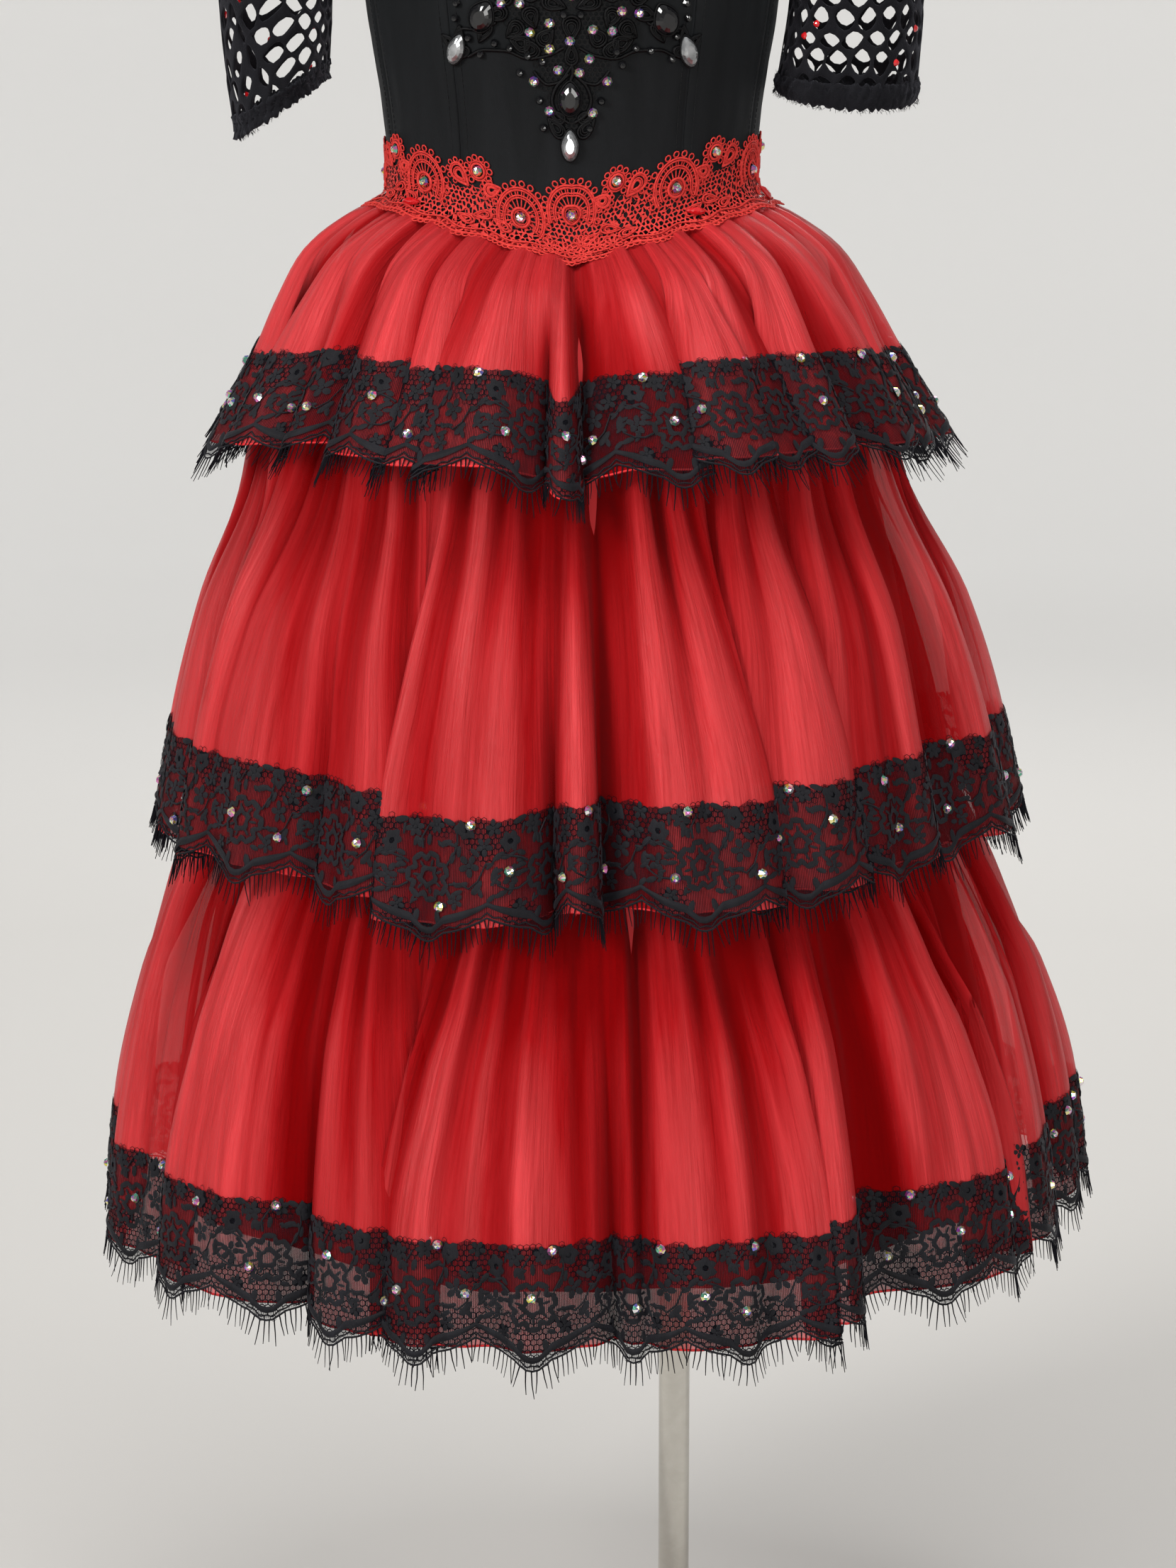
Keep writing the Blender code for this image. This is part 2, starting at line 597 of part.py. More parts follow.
def build_skirt(collection):
    """Lining, three gathered tiers, and each tier's lace trim and fringe."""
    organza = material("organza", (0.55, 0.03, 0.05), 0.45)
    lining = material("lining_cloth", (0.50, 0.02, 0.04), 0.6)
    lace = material("black_lace", (0.02, 0.02, 0.022), 0.7)
    turn = 360.0 / LINING_COLUMNS
    angles = [-180.0 + turn * k for k in range(LINING_COLUMNS)]
    top = []
    for angle in angles:
        section = form_section(seam_height(angle) - LINING_TOP_DROP)
        top.append(oval_point(section, angle, LINING_CLEARANCE))
    rows = [top]
    for row in LINING_ROWS:
        line = []
        for angle in angles:
            dip = SIDE_SEAM_HEIGHT - seam_height(angle)
            share = max(0.0, (row.height - LINING_DIP_END) / (SIDE_SEAM_HEIGHT - LINING_DIP_END))
            column = Column(angle, 0.0, 0.0, 1)
            line.append(skirt_point(row, column, row.height - dip * share, 0.0))
        rows.append(line)
    add_wall("lining", rows, lining, collection, LACE_WALL, False)
    upper_columns = []
    for number, tier in enumerate((TIER_1, TIER_2, TIER_3), start=1):
        columns = fold_columns(tier.folds)
        rows = tier_rows(tier, columns, upper_columns)
        add_wall(tier.name, rows, organza, collection, SKIRT_WALL, False)
        trim = lace_rows(rows)
        add_wall(f"lace_{number}", trim, lace, collection, LACE_WALL, True)
        add_fringe(f"fringe_{number}", trim, lace, collection)
        upper_columns = columns


def band_rows():
    """Grid of the guipure band's inner face, scalloped above and flared below."""
    columns = BAND_REPEATS * BAND_COLUMNS
    angles = [-180.0 + 360.0 * k / columns for k in range(columns)]
    rows = [[], [], [], []]
    for k, angle in enumerate(angles):
        seam = seam_height(angle)
        crest = abs(math.sin(math.pi * (k + 0.5) / BAND_COLUMNS))
        lift = BODICE_WALL + TOUCH * 2
        height = BAND_HEIGHT + BAND_POINT_RISE * basque_share(angle)
        top = seam + height - BAND_SCALLOP * (1.0 - crest)
        rows[0].append(bodice_point(angle, top, lift))
        rows[1].append(bodice_point(angle, seam + height * BAND_MIDDLE, lift))
        rows[2].append(bodice_point(angle, seam + height * BAND_FOOT, lift))
        edge = bodice_point(angle, seam - BAND_EDGE_DROP, lift + BAND_FLARE)
        rows[3].append(edge)
    return rows


def build_waist_band(collection):
    """Guipure band over the waist seam, with the largest gap of each fan cut through."""
    thread = material("red_guipure", (0.60, 0.03, 0.03), 0.6)
    item = add_wall("waist_band", band_rows(), thread, collection, LACE_WALL, True)
    shape = bmesh.new()
    shape.from_mesh(item.data)
    shape.faces.ensure_lookup_table()
    columns = BAND_REPEATS * BAND_COLUMNS
    chosen = []
    for repeat in range(BAND_REPEATS):
        first = repeat * BAND_COLUMNS
        for row, column in BAND_GAPS:
            chosen.append(shape.faces[row * columns + first + column])
    bmesh.ops.inset_individual(shape, faces=chosen, thickness=BAND_GAP_RIM, use_even_offset=True)
    bmesh.ops.delete(shape, geom=chosen, context="FACES_ONLY")
    shape.to_mesh(item.data)
    shape.free()


def sleeve_rows(table, side):
    """Grid of a sleeve's inner face, from the armhole to the hem."""
    rows = []
    for row in table:
        tilt = math.radians(row.tilt)
        line = []
        for k in range(SLEEVE_COLUMNS):
            angle = 2.0 * math.pi * k / SLEEVE_COLUMNS * side
            across = row.half_width * math.cos(angle)
            depth = row.half_depth * math.sin(angle)
            drop = row.front_drop * max(0.0, -math.sin(angle))
            line.append(Vector((side * (row.x + across * math.cos(tilt)), depth,
                                row.height + across * math.sin(tilt) - drop)))
        rows.append(line)
    return rows


def build_sleeves(collection):
    """Two empty net sleeves and their cuffs; each hangs in its own way."""
    net = material("sleeve_net", (0.02, 0.02, 0.022), 0.8)
    for name, table, side in (("right", SLEEVE_RIGHT, 1), ("left", SLEEVE_LEFT, -1)):
        rows = sleeve_rows(table, side)
        add_wall(f"sleeve_{name}", rows, net, collection, SLEEVE_WALL, True)
        cuff = moved_out(rows[-2:], SLEEVE_WALL + TOUCH)
        add_wall(f"cuff_{name}", cuff, net, collection, SLEEVE_WALL, True)


def front_point(x, height, outward):
    """Point of the bodice's front at a width and height, moved outward."""
    section = form_section(height)
    reach = section.half_width + FORM_CLEARANCE + outward
    return bodice_point(math.degrees(math.asin(x / reach)), height, outward)


def build_applique(collection):
    """Corded lace on the centre front and its six large stones."""
    cord = material("applique_cord", (0.015, 0.015, 0.017), 0.5)
    lift = BODICE_WALL + TOUCH + APPLIQUE_LIFT
    rows = []
    for height, half_width in reversed(APPLIQUE_ROWS):
        rows.append([front_point(half_width * (2.0 * k / APPLIQUE_COLUMNS - 1.0), height, lift)
                     for k in range(APPLIQUE_COLUMNS + 1)])
    add_wall("applique", rows, cord, collection, APPLIQUE_WALL, True, closed=False)
    for stone in STONES:
        add_stone(stone, collection)


def add_stone(stone, collection):
    """Pear-cut stone: a flat back, a girdle and a table, point up before it is turned."""
    finish = material(stone.name, stone.colour, 0.08)
    outline = []
    for k in range(STONE_SIDES):
        angle = 2.0 * math.pi * k / STONE_SIDES
        narrow = 1.0 - STONE_TAPER * max(0.0, math.cos(angle)) ** STONE_POINT
        outline.append((stone.width / 2 * math.sin(angle) * narrow,
                        stone.length / 2 * math.cos(angle)))
    mesh = bpy.data.meshes.new(stone.name)
    shape = bmesh.new()
    layers = []
    for level, scale in STONE_LAYERS:
        layers.append([shape.verts.new((x * scale, y * scale, level * STONE_HEIGHT))
                       for x, y in outline])
    for low, high in zip(layers, layers[1:]):
        for k in range(STONE_SIDES):
            after = (k + 1) % STONE_SIDES
            shape.faces.new((low[k], low[after], high[after], high[k]))
    shape.faces.new(layers[0])
    shape.faces.new(layers[-1])
    bmesh.ops.recalc_face_normals(shape, faces=shape.faces)
    shape.to_mesh(mesh)
    shape.free()
    item = add_object(stone.name, mesh, finish, collection)
    lift = BODICE_WALL + TOUCH + stone.lift
    place = front_point(stone.x, stone.height, lift)
    side = front_point(stone.x + FRONT_STEP, stone.height, lift) - place
    rise = front_point(stone.x, stone.height + FRONT_STEP, lift) - place
    out = side.cross(rise).normalized()
    side.normalize()
    up = out.cross(side)
    facing = Matrix((side, up, out)).transposed().to_4x4()
    item.matrix_world = (Matrix.Translation(place) @ facing
                         @ Matrix.Rotation(math.radians(stone.turn), 4, "Z"))


def main():
    """Build the whole part."""
    clear_scene()
    collection = bpy.data.collections.new("tutu_on_dress_form")
    bpy.context.scene.collection.children.link(collection)
    build_stand(collection)
    build_form(collection)
    build_bodice(collection)
    build_skirt(collection)
    build_waist_band(collection)
    build_sleeves(collection)
    build_applique(collection)


main()
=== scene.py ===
"""Three-tier tutu dress with a basque bodice, dressed and standing on a pole dress form.

Metres, +Z up. The garment faces -Y and +X is on the viewer's right. Angles go round the
garment in degrees: 0 is the front and 90 is the +X side.

Each trim is first made flat, as a maker lays it on the table: x runs along the cloth, y runs
up it, and z is the height over it. A surface then bends the flat piece into its place.
"""
import logging
import math
from collections.abc import Callable, Sequence
from dataclasses import dataclass, field
from enum import Enum
from typing import NamedTuple

import bmesh
import bpy
import numpy as np
from bpy.types import Material, Mesh, Node, NodeSocket, NodeTree, Object
from mathutils import Matrix, Vector


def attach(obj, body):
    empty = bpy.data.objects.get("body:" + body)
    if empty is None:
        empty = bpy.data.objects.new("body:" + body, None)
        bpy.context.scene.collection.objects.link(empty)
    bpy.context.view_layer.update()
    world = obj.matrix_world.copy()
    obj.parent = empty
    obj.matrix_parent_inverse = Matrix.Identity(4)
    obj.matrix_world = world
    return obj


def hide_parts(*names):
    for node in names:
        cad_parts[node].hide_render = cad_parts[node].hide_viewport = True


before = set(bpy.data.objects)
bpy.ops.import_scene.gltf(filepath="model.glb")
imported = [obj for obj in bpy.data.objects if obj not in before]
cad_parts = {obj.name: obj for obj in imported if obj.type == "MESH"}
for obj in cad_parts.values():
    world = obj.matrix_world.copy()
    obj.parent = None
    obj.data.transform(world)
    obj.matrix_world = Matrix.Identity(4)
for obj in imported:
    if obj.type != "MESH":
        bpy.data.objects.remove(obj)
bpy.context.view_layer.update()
LOG = logging.getLogger("tutu")

Array = np.ndarray
Pair = tuple[float, float]
Triple = tuple[float, float, float]


class FormSection(NamedTuple):
    """Level section of the dress form."""

    height: float
    half_width: float
    front: float
    back: float


class SkirtRow(NamedTuple):
    """Level section of a skirt layer, with the share that its folds have there."""

    height: float
    half_width: float
    half_depth: float
    nested: float
    folds: float


class Fold(NamedTuple):
    """Hanging fold of a tier: its width in degrees, depth, lean, and how far its hem drops."""

    width: float
    depth: float
    lean: float
    drop: float


class SleeveRow(NamedTuple):
    """Section of a sleeve, tilted across its width."""

    x: float
    height: float
    half_width: float
    half_depth: float
    tilt: float
    front_drop: float


FORM_SECTIONS = (
    FormSection(0.860, 0.135, 0.094, 0.100),
    FormSection(0.876, 0.157, 0.108, 0.118),
    FormSection(0.930, 0.165, 0.112, 0.122),
    FormSection(1.060, 0.1285, 0.091, 0.090),
    FormSection(1.118, 0.1202, 0.086, 0.081),
    FormSection(1.230, 0.1340, 0.104, 0.091),
    FormSection(1.300, 0.1430, 0.121, 0.095),
    FormSection(1.350, 0.1495, 0.120, 0.096),
    FormSection(1.400, 0.1585, 0.1015, 0.092),
    FormSection(1.442, 0.1680, 0.081, 0.084),
    FormSection(1.466, 0.1500, 0.067, 0.072),
    FormSection(1.490, 0.1000, 0.058, 0.063),
    FormSection(1.512, 0.0640, 0.054, 0.058),
    FormSection(1.570, 0.0560, 0.050, 0.054),
)
BODICE_TOP = ((0, 1.388), (18, 1.396), (36, 1.4425), (54, 1.4425), (63, 1.418), (72, 1.376), (90, 1.338),
              (108, 1.376), (117, 1.418), (126, 1.4425), (144, 1.4425), (162, 1.425), (180, 1.412))
LINING_ROWS = (
    SkirtRow(1.080, 0.1450, 0.1140, 0, 0),
    SkirtRow(1.050, 0.1620, 0.1400, 0, 0),
    SkirtRow(0.985, 0.1838, 0.1680, 0, 0),
    SkirtRow(0.860, 0.2110, 0.1960, 0, 0),
    SkirtRow(0.730, 0.2345, 0.2204, 0, 0),
    SkirtRow(0.425, 0.2950, 0.2800, 0, 0),
)
TIER_1_ROWS = (
    SkirtRow(1.0860, 0.1480, 0.1200, 0, 0.05),
    SkirtRow(1.0670, 0.1750, 0.1530, 0, 0.20),
    SkirtRow(1.0360, 0.1970, 0.1790, 0, 0.60),
    SkirtRow(1.0020, 0.2165, 0.2010, 0, 1.00),
    SkirtRow(0.9460, 0.2490, 0.2340, 0, 1.00),
)
TIER_1_FOLDS = (
    Fold(19, 0.016, 0.10, 0.004), Fold(18, 0.014, -0.10, 0.000), Fold(10, 0.020, 0.12, -0.006),
    Fold(12, 0.012, 0.10, -0.002), Fold(8, 0.011, 0.00, 0.002), Fold(18, 0.020, -0.14, 0.000),
    Fold(6, 0.023, 0.00, 0.020), Fold(18, 0.022, 0.14, 0.004), Fold(9, 0.015, 0.10, -0.004),
    Fold(10, 0.014, 0.10, -0.004), Fold(11, 0.012, 0.00, -0.004), Fold(13, 0.015, 0.10, -0.002),
    Fold(14, 0.013, -0.10, 0.002), Fold(14, 0.014, 0.10, 0.004), Fold(17, 0.017, 0.12, 0.000),
    Fold(21, 0.020, -0.12, -0.004), Fold(15, 0.014, 0.10, 0.002), Fold(23, 0.019, 0.08, 0.004),
    Fold(18, 0.018, -0.12, -0.002), Fold(22, 0.022, 0.12, 0.000), Fold(16, 0.015, -0.10, 0.004),
    Fold(24, 0.020, 0.14, 0.000), Fold(24, 0.017, -0.10, 0.002),
)
TIER_2_ROWS = (
    SkirtRow(0.985, 0.1865, 0.1707, 0, 0.00),
    SkirtRow(0.945, 0.2290, 0.2140, 1.0, 0.05),
    SkirtRow(0.905, 0.2390, 0.2250, 0.8, 0.20),
    SkirtRow(0.826, 0.2650, 0.2510, 0.2, 0.60),
    SkirtRow(0.742, 0.2840, 0.2690, 0, 1.00),
    SkirtRow(0.678, 0.2970, 0.2810, 0, 1.00),
)
TIER_2_FOLDS = (
    Fold(27, 0.017, 0.10, -0.004), Fold(24, 0.018, -0.10, -0.002), Fold(15, 0.019, 0.12, 0.004),
    Fold(20, 0.022, -0.14, 0.018), Fold(6, 0.016, 0.00, 0.006), Fold(20, 0.023, 0.12, 0.008),
    Fold(14, 0.021, 0.12, 0.000), Fold(19, 0.017, -0.10, -0.006), Fold(18, 0.019, 0.12, -0.008),
    Fold(17, 0.015, 0.10, -0.010), Fold(29, 0.020, 0.12, 0.002), Fold(33, 0.022, -0.14, 0.008),
    Fold(26, 0.018, 0.10, 0.000), Fold(34, 0.022, 0.12, 0.006), Fold(28, 0.020, -0.12, -0.002),
    Fold(30, 0.019, 0.10, 0.002),
)
TIER_3_ROWS = (
    SkirtRow(0.730, 0.2372, 0.2229, 0, 0.00),
    SkirtRow(0.660, 0.2860, 0.2710, 1.0, 0.05),
    SkirtRow(0.618, 0.3030, 0.2880, 0.8, 0.25),
    SkirtRow(0.566, 0.3165, 0.3010, 0.3, 0.60),
    SkirtRow(0.469, 0.3340, 0.3190, 0, 1.00),
    SkirtRow(0.405, 0.3410, 0.3260, 0, 1.00),
)
TIER_3_FOLDS = (
    Fold(30, 0.018, 0.10, 0.004), Fold(23, 0.020, -0.10, 0.002), Fold(15, 0.024, 0.12, 0.006),
    Fold(24, 0.022, -0.14, 0.008), Fold(24, 0.026, 0.12, 0.008), Fold(6, 0.018, 0.00, 0.000),
    Fold(24, 0.024, 0.12, -0.008), Fold(17, 0.022, -0.10, -0.014), Fold(17, 0.016, 0.10, -0.022),
    Fold(28, 0.022, 0.12, -0.008), Fold(32, 0.024, -0.14, 0.004), Fold(25, 0.020, 0.10, 0.000),
    Fold(36, 0.026, 0.12, 0.008), Fold(29, 0.022, -0.12, 0.000), Fold(30, 0.020, 0.10, 0.004),
)
SLEEVE_RIGHT = (
    SleeveRow(0.1632, 1.3930, 0.0560, 0.052, 80, 0.0),
    SleeveRow(0.1830, 1.3600, 0.0540, 0.057, 58, 0.0),
    SleeveRow(0.1910, 1.3230, 0.0510, 0.059, 35, 0.0),
    SleeveRow(0.1910, 1.2800, 0.0470, 0.059, 14, 0.0),
    SleeveRow(0.1895, 1.2300, 0.0440, 0.057, 3, 0.0),
    SleeveRow(0.1840, 1.1795, 0.0460, 0.054, -2, 0.004),
    SleeveRow(0.1830, 1.1675, 0.0460, 0.052, -3, 0.009),
)
SLEEVE_LEFT = (
    SleeveRow(0.1632, 1.3930, 0.0560, 0.052, 80, 0.0),
    SleeveRow(0.1830, 1.3600, 0.0540, 0.057, 58, 0.0),
    SleeveRow(0.1930, 1.3230, 0.0490, 0.059, 35, 0.0),
    SleeveRow(0.1960, 1.2800, 0.0430, 0.059, 12, 0.0),
    SleeveRow(0.1970, 1.2300, 0.0370, 0.058, -6, 0.0),
    SleeveRow(0.1945, 1.1725, 0.0370, 0.056, -30, 0.003),
    SleeveRow(0.1940, 1.1590, 0.0370, 0.054, -33, 0.004),
)

FORM_CLEARANCE = 0.0016
BODICE_WALL = 0.002
SIDE_SEAM_HEIGHT = 1.098
BASQUE_DROP = 0.031
BASQUE_REACH = 64.0
BASQUE_CURVE = 1.25
HANG_SHIFT = 0.0155
HANG_LENGTH = 0.70
WAIST_DIP_FADE = 1.6
POLE_X = 0.072


def wrap(value: Array, period: float) -> Array:
    """Value brought to within half a period of zero."""
    return (value + period / 2.0) % period - period / 2.0


def unit(vectors: Array) -> Array:
    """Vectors brought to a length of one."""
    return vectors / (np.linalg.norm(vectors, axis=-1, keepdims=True) + 1e-12)


def running(steps: Array) -> Array:
    """Distance from the start after each step, with the start itself."""
    return np.concatenate([[0.0], np.cumsum(steps)])


def step_lengths(points: Array) -> Array:
    """Distance from each point to the next."""
    return np.linalg.norm(np.diff(points, axis=0), axis=1)


def smooth_curve(knots: Sequence[float], values: Sequence[float], at: Array) -> Array:
    """Read a smooth curve through a table, which never swings past its own values.

    Args:
        knots: Rising places of the table.
        values: Value at each place.
        at: Places to read.

    Returns:
        The value at each place that is read.
    """
    knots = np.asarray(knots, float)
    values = np.asarray(values, float)
    steps = np.diff(knots)
    slopes = np.diff(values) / steps
    with np.errstate(divide="ignore", invalid="ignore"):
        mean = 2.0 / (1.0 / slopes[:-1] + 1.0 / slopes[1:])
    inner = np.where(slopes[:-1] * slopes[1:] > 0, mean, 0.0)
    tangents = np.concatenate([slopes[:1], inner, slopes[-1:]])
    k = np.clip(np.searchsorted(knots, at) - 1, 0, len(steps) - 1)
    t = np.clip((at - knots[k]) / steps[k], 0.0, 1.0)
    rise = t * t * (3.0 - 2.0 * t)
    return (values[k] * (1.0 - rise) + values[k + 1] * rise
            + steps[k] * t * (1.0 - t) * ((1.0 - t) * tangents[k] - t * tangents[k + 1]))


def read_rows(rows: Sequence[tuple[float, ...]], steps: int) -> tuple[Array, list[Array]]:
    """Read a table of sections at even steps down the cloth.

    Args:
        rows: Sections, whose first two columns give the slant from one to the next.
        steps: How many steps are taken.

    Returns:
        The distance down at each step, and each column of the table there.
    """
    table = np.array(rows)
    knots = running(np.hypot(np.diff(table[:, 0]), np.diff(table[:, 1])))
    down = np.linspace(0.0, knots[-1], steps + 1)
    return down, [smooth_curve(knots, column, down)[:, None] for column in table.T]


def seam_height(degrees: Array) -> Array:
    """Height of the waist seam, which dips to a basque point at the front."""
    away = np.minimum(np.abs(wrap(np.asarray(degrees, float), 360.0)) / BASQUE_REACH, 1.0)
    return SIDE_SEAM_HEIGHT - BASQUE_DROP * (1.0 - away) ** BASQUE_CURVE


def bodice_top(degrees: Array) -> Array:
    """Height of the bodice's upper edge."""
    angles, heights = zip(*BODICE_TOP)
    return np.interp(np.abs(wrap(np.asarray(degrees, float), 360.0)), angles, heights)


def body_point(radians: Array, height: Array, outward: Array) -> Array:
    """Points round the dress form, moved outward from it."""
    heights, widths, fronts, backs = zip(*FORM_SECTIONS)
    half_width = smooth_curve(heights, widths, height)
    depth = np.where(np.cos(radians) > 0.0, smooth_curve(heights, fronts, height),
                     smooth_curve(heights, backs, height))
    return np.stack([(half_width + outward) * np.sin(radians), -(depth + outward) * np.cos(radians),
                     height + 0.0 * radians], axis=-1)


def skirt_point(radians: Array, height: Array, half_width: Array, half_depth: Array, lowered: Array) -> Array:
    """Points round a skirt layer, which hangs a little towards the pole.

    Args:
        radians: Angles round the garment.
        height: Level of each row, which sets how far it is shifted.
        half_width: Half its width, less what the folds lie back.
        half_depth: Half its depth, less the same.
        lowered: Height of each point.

    Returns:
        The points.
    """
    shift = HANG_SHIFT * np.maximum(0.0, SIDE_SEAM_HEIGHT - height) / HANG_LENGTH
    return np.stack([half_width * np.sin(radians) + shift, -half_depth * np.cos(radians), lowered], axis=-1)


def ripple(rng: np.random.Generator, total: float, length: float, at: Array, waves: int = 8) -> Array:
    """Uneven ripple along a closed edge, about one unit high.

    Args:
        rng: Seeded source of the wave counts and phases.
        total: Length of the closed edge.
        length: Usual length of one wave.
        at: Places along the edge.
        waves: How many sine waves are added up.

    Returns:
        The ripple's height at each place.
    """
    middle = total / length
    counts = rng.integers(max(1, int(middle * 0.62)), int(middle * 1.5) + 2, waves)
    phases = rng.uniform(0.0, 2.0 * math.pi, waves)
    turns = 2.0 * math.pi * counts[:, None] * at[None, :] / total + phases[:, None]
    return np.sin(turns).sum(axis=0) / math.sqrt(waves)


def read_points(mesh: Mesh) -> Array:
    """Places of a mesh's vertices."""
    points = np.empty(len(mesh.vertices) * 3)
    mesh.vertices.foreach_get("co", points)
    return points.reshape(-1, 3)


def move_points(mesh: Mesh, points: Array) -> Mesh:
    """Put a mesh's vertices in new places."""
    mesh.vertices.foreach_set("co", points.ravel())
    mesh.update()
    return mesh


def flat_cloth(name: str, columns: int, rows: int, place: Callable[[Array, Array], Array]) -> Mesh:
    """Grid of cloth laid flat.

    Args:
        name: Name of the mesh.
        columns: Faces across.
        rows: Faces up.
        place: Turns shares across and up, from 0 to 1, into flat coordinates.

    Returns:
        The flat mesh.
    """
    shape = bmesh.new()
    bmesh.ops.create_grid(shape, x_segments=columns, y_segments=rows, size=0.5)
    mesh = finish_mesh(shape, name)
    flat = read_points(mesh)
    return move_points(mesh, place(flat[:, 0] + 0.5, flat[:, 1] + 0.5))


def finish_mesh(shape: bmesh.types.BMesh, name: str) -> Mesh:
    """Turn a bmesh into a mesh."""
    mesh = bpy.data.meshes.new(name)
    shape.to_mesh(mesh)
    shape.free()
    return mesh


def merged(mesh: Mesh, distance: float = 0.00002) -> Mesh:
    """Merge the doubles of a mesh, such as the two edges that meet round a closed piece."""
    shape = bmesh.new()
    shape.from_mesh(mesh)
    bmesh.ops.remove_doubles(shape, verts=shape.verts, dist=distance)
    shape.to_mesh(mesh)
    shape.free()
    return mesh


class Surface:
    """Surface that flat cloth is bent onto."""

    def bend(self, flat: Array) -> Array:
        """Turn flat coordinates (along, up, lift) into points of the row frame."""
        raise NotImplementedError

    def lay(self, mesh: Mesh) -> Mesh:
        """Keep a flat mesh's coordinates as its UV map, and bend the mesh into place."""
        flat = read_points(mesh)
        corners = np.empty(len(mesh.loops), dtype=np.int32)
        mesh.loops.foreach_get("vertex_index", corners)
        for layer in list(mesh.uv_layers):
            mesh.uv_layers.remove(layer)
        layer = mesh.uv_layers.new(name="cloth")
        layer.data.foreach_set("uv", flat[corners][:, :2].ravel())
        return move_points(mesh, self.bend(flat))

    def stand(self, along: float, up: float, lift: float) -> Matrix:
        """Matrix of a rigid piece that stands on the surface, its Z pointing out of it."""
        step = 0.002
        flat = np.array([[along, up, lift], [along + step, up, lift], [along, up + step, lift]])
        place, side, rise = (Vector(point) for point in self.bend(flat))
        out = (side - place).cross(rise - place).normalized()
        across = (side - place).normalized()
        return Matrix.Translation(place) @ Matrix((across, out.cross(across), out)).transposed().to_4x4()


@dataclass
class BodySurface(Surface):
    """The bodice's own surface: x is the arc round the form, and y is the height."""

    lift: float = FORM_CLEARANCE
    reach: float = 0.134

    def bend(self, flat: Array) -> Array:
        """Turn flat coordinates (along, height, lift) into points of the row frame."""
        return body_point(flat[:, 0] / self.reach, flat[:, 1], self.lift + flat[:, 2])

    def arc(self, degrees: Array) -> Array:
        """Place along the flat cloth at an angle."""
        return np.radians(degrees) * self.reach

    def at_width(self, x: float, height: float) -> float:
        """Place along the flat cloth where the front is that far from the middle."""
        heights, widths, _, _ = zip(*FORM_SECTIONS)
        wide = float(smooth_curve(heights, widths, np.array([height]))[0]) + self.lift
        return math.asin(max(-1.0, min(1.0, x / wide))) * self.reach


@dataclass
class BandSurface(Surface):
    """Surface of the guipure band: flat on the bodice above the seam, turned out below."""

    lift: float = FORM_CLEARANCE + BODICE_WALL + 0.0008
    roll_start: float = 0.010
    roll_radius: float = 0.013
    roll_angle: float = 62.0
    ruffle: float = 0.0035
    ruffle_start: float = 0.014
    ruffle_length: float = 0.0418
    angles: Array = field(init=False)
    arcs: Array = field(init=False)

    def __post_init__(self) -> None:
        """Measure the waist, so that x is the true length along it."""
        self.angles = np.radians(np.linspace(-180.0, 180.0, 721))
        seam = seam_height(np.degrees(self.angles))
        line = body_point(self.angles, seam, np.full(len(seam), self.lift))[:, :2]
        self.arcs = running(step_lengths(line))
        self.arcs -= self.arcs[-1] / 2.0

    @property
    def width(self) -> float:
        """Length of the band round the waist."""
        return float(self.arcs[-1] * 2.0)

    def bend(self, flat: Array) -> Array:
        """Turn flat coordinates (along, up from the seam, lift) into points of the row frame."""
        along = wrap(flat[:, 0], self.width)
        angle = np.interp(along, self.arcs, self.angles)
        down = np.maximum(0.0, self.roll_start - flat[:, 1])
        limit = math.radians(self.roll_angle)
        turn = np.minimum(down / self.roll_radius, limit)
        past = np.maximum(0.0, down - limit * self.roll_radius)
        out = self.roll_radius * (1.0 - np.cos(turn)) + past * np.sin(turn)
        waves = 0.5 + 0.5 * np.sin(along * (2.0 * math.pi / self.ruffle_length))
        out = out + self.ruffle * np.clip(down / self.ruffle_start, 0.0, 1.0) * waves
        fall = self.roll_radius * np.sin(turn) + past * np.cos(turn)
        above = np.where(down > 0.0, self.roll_start - fall, flat[:, 1])
        out = out + flat[:, 2] * np.cos(turn)
        above = above + flat[:, 2] * np.sin(turn)
        return body_point(angle, seam_height(np.degrees(angle)) + above, self.lift + out)


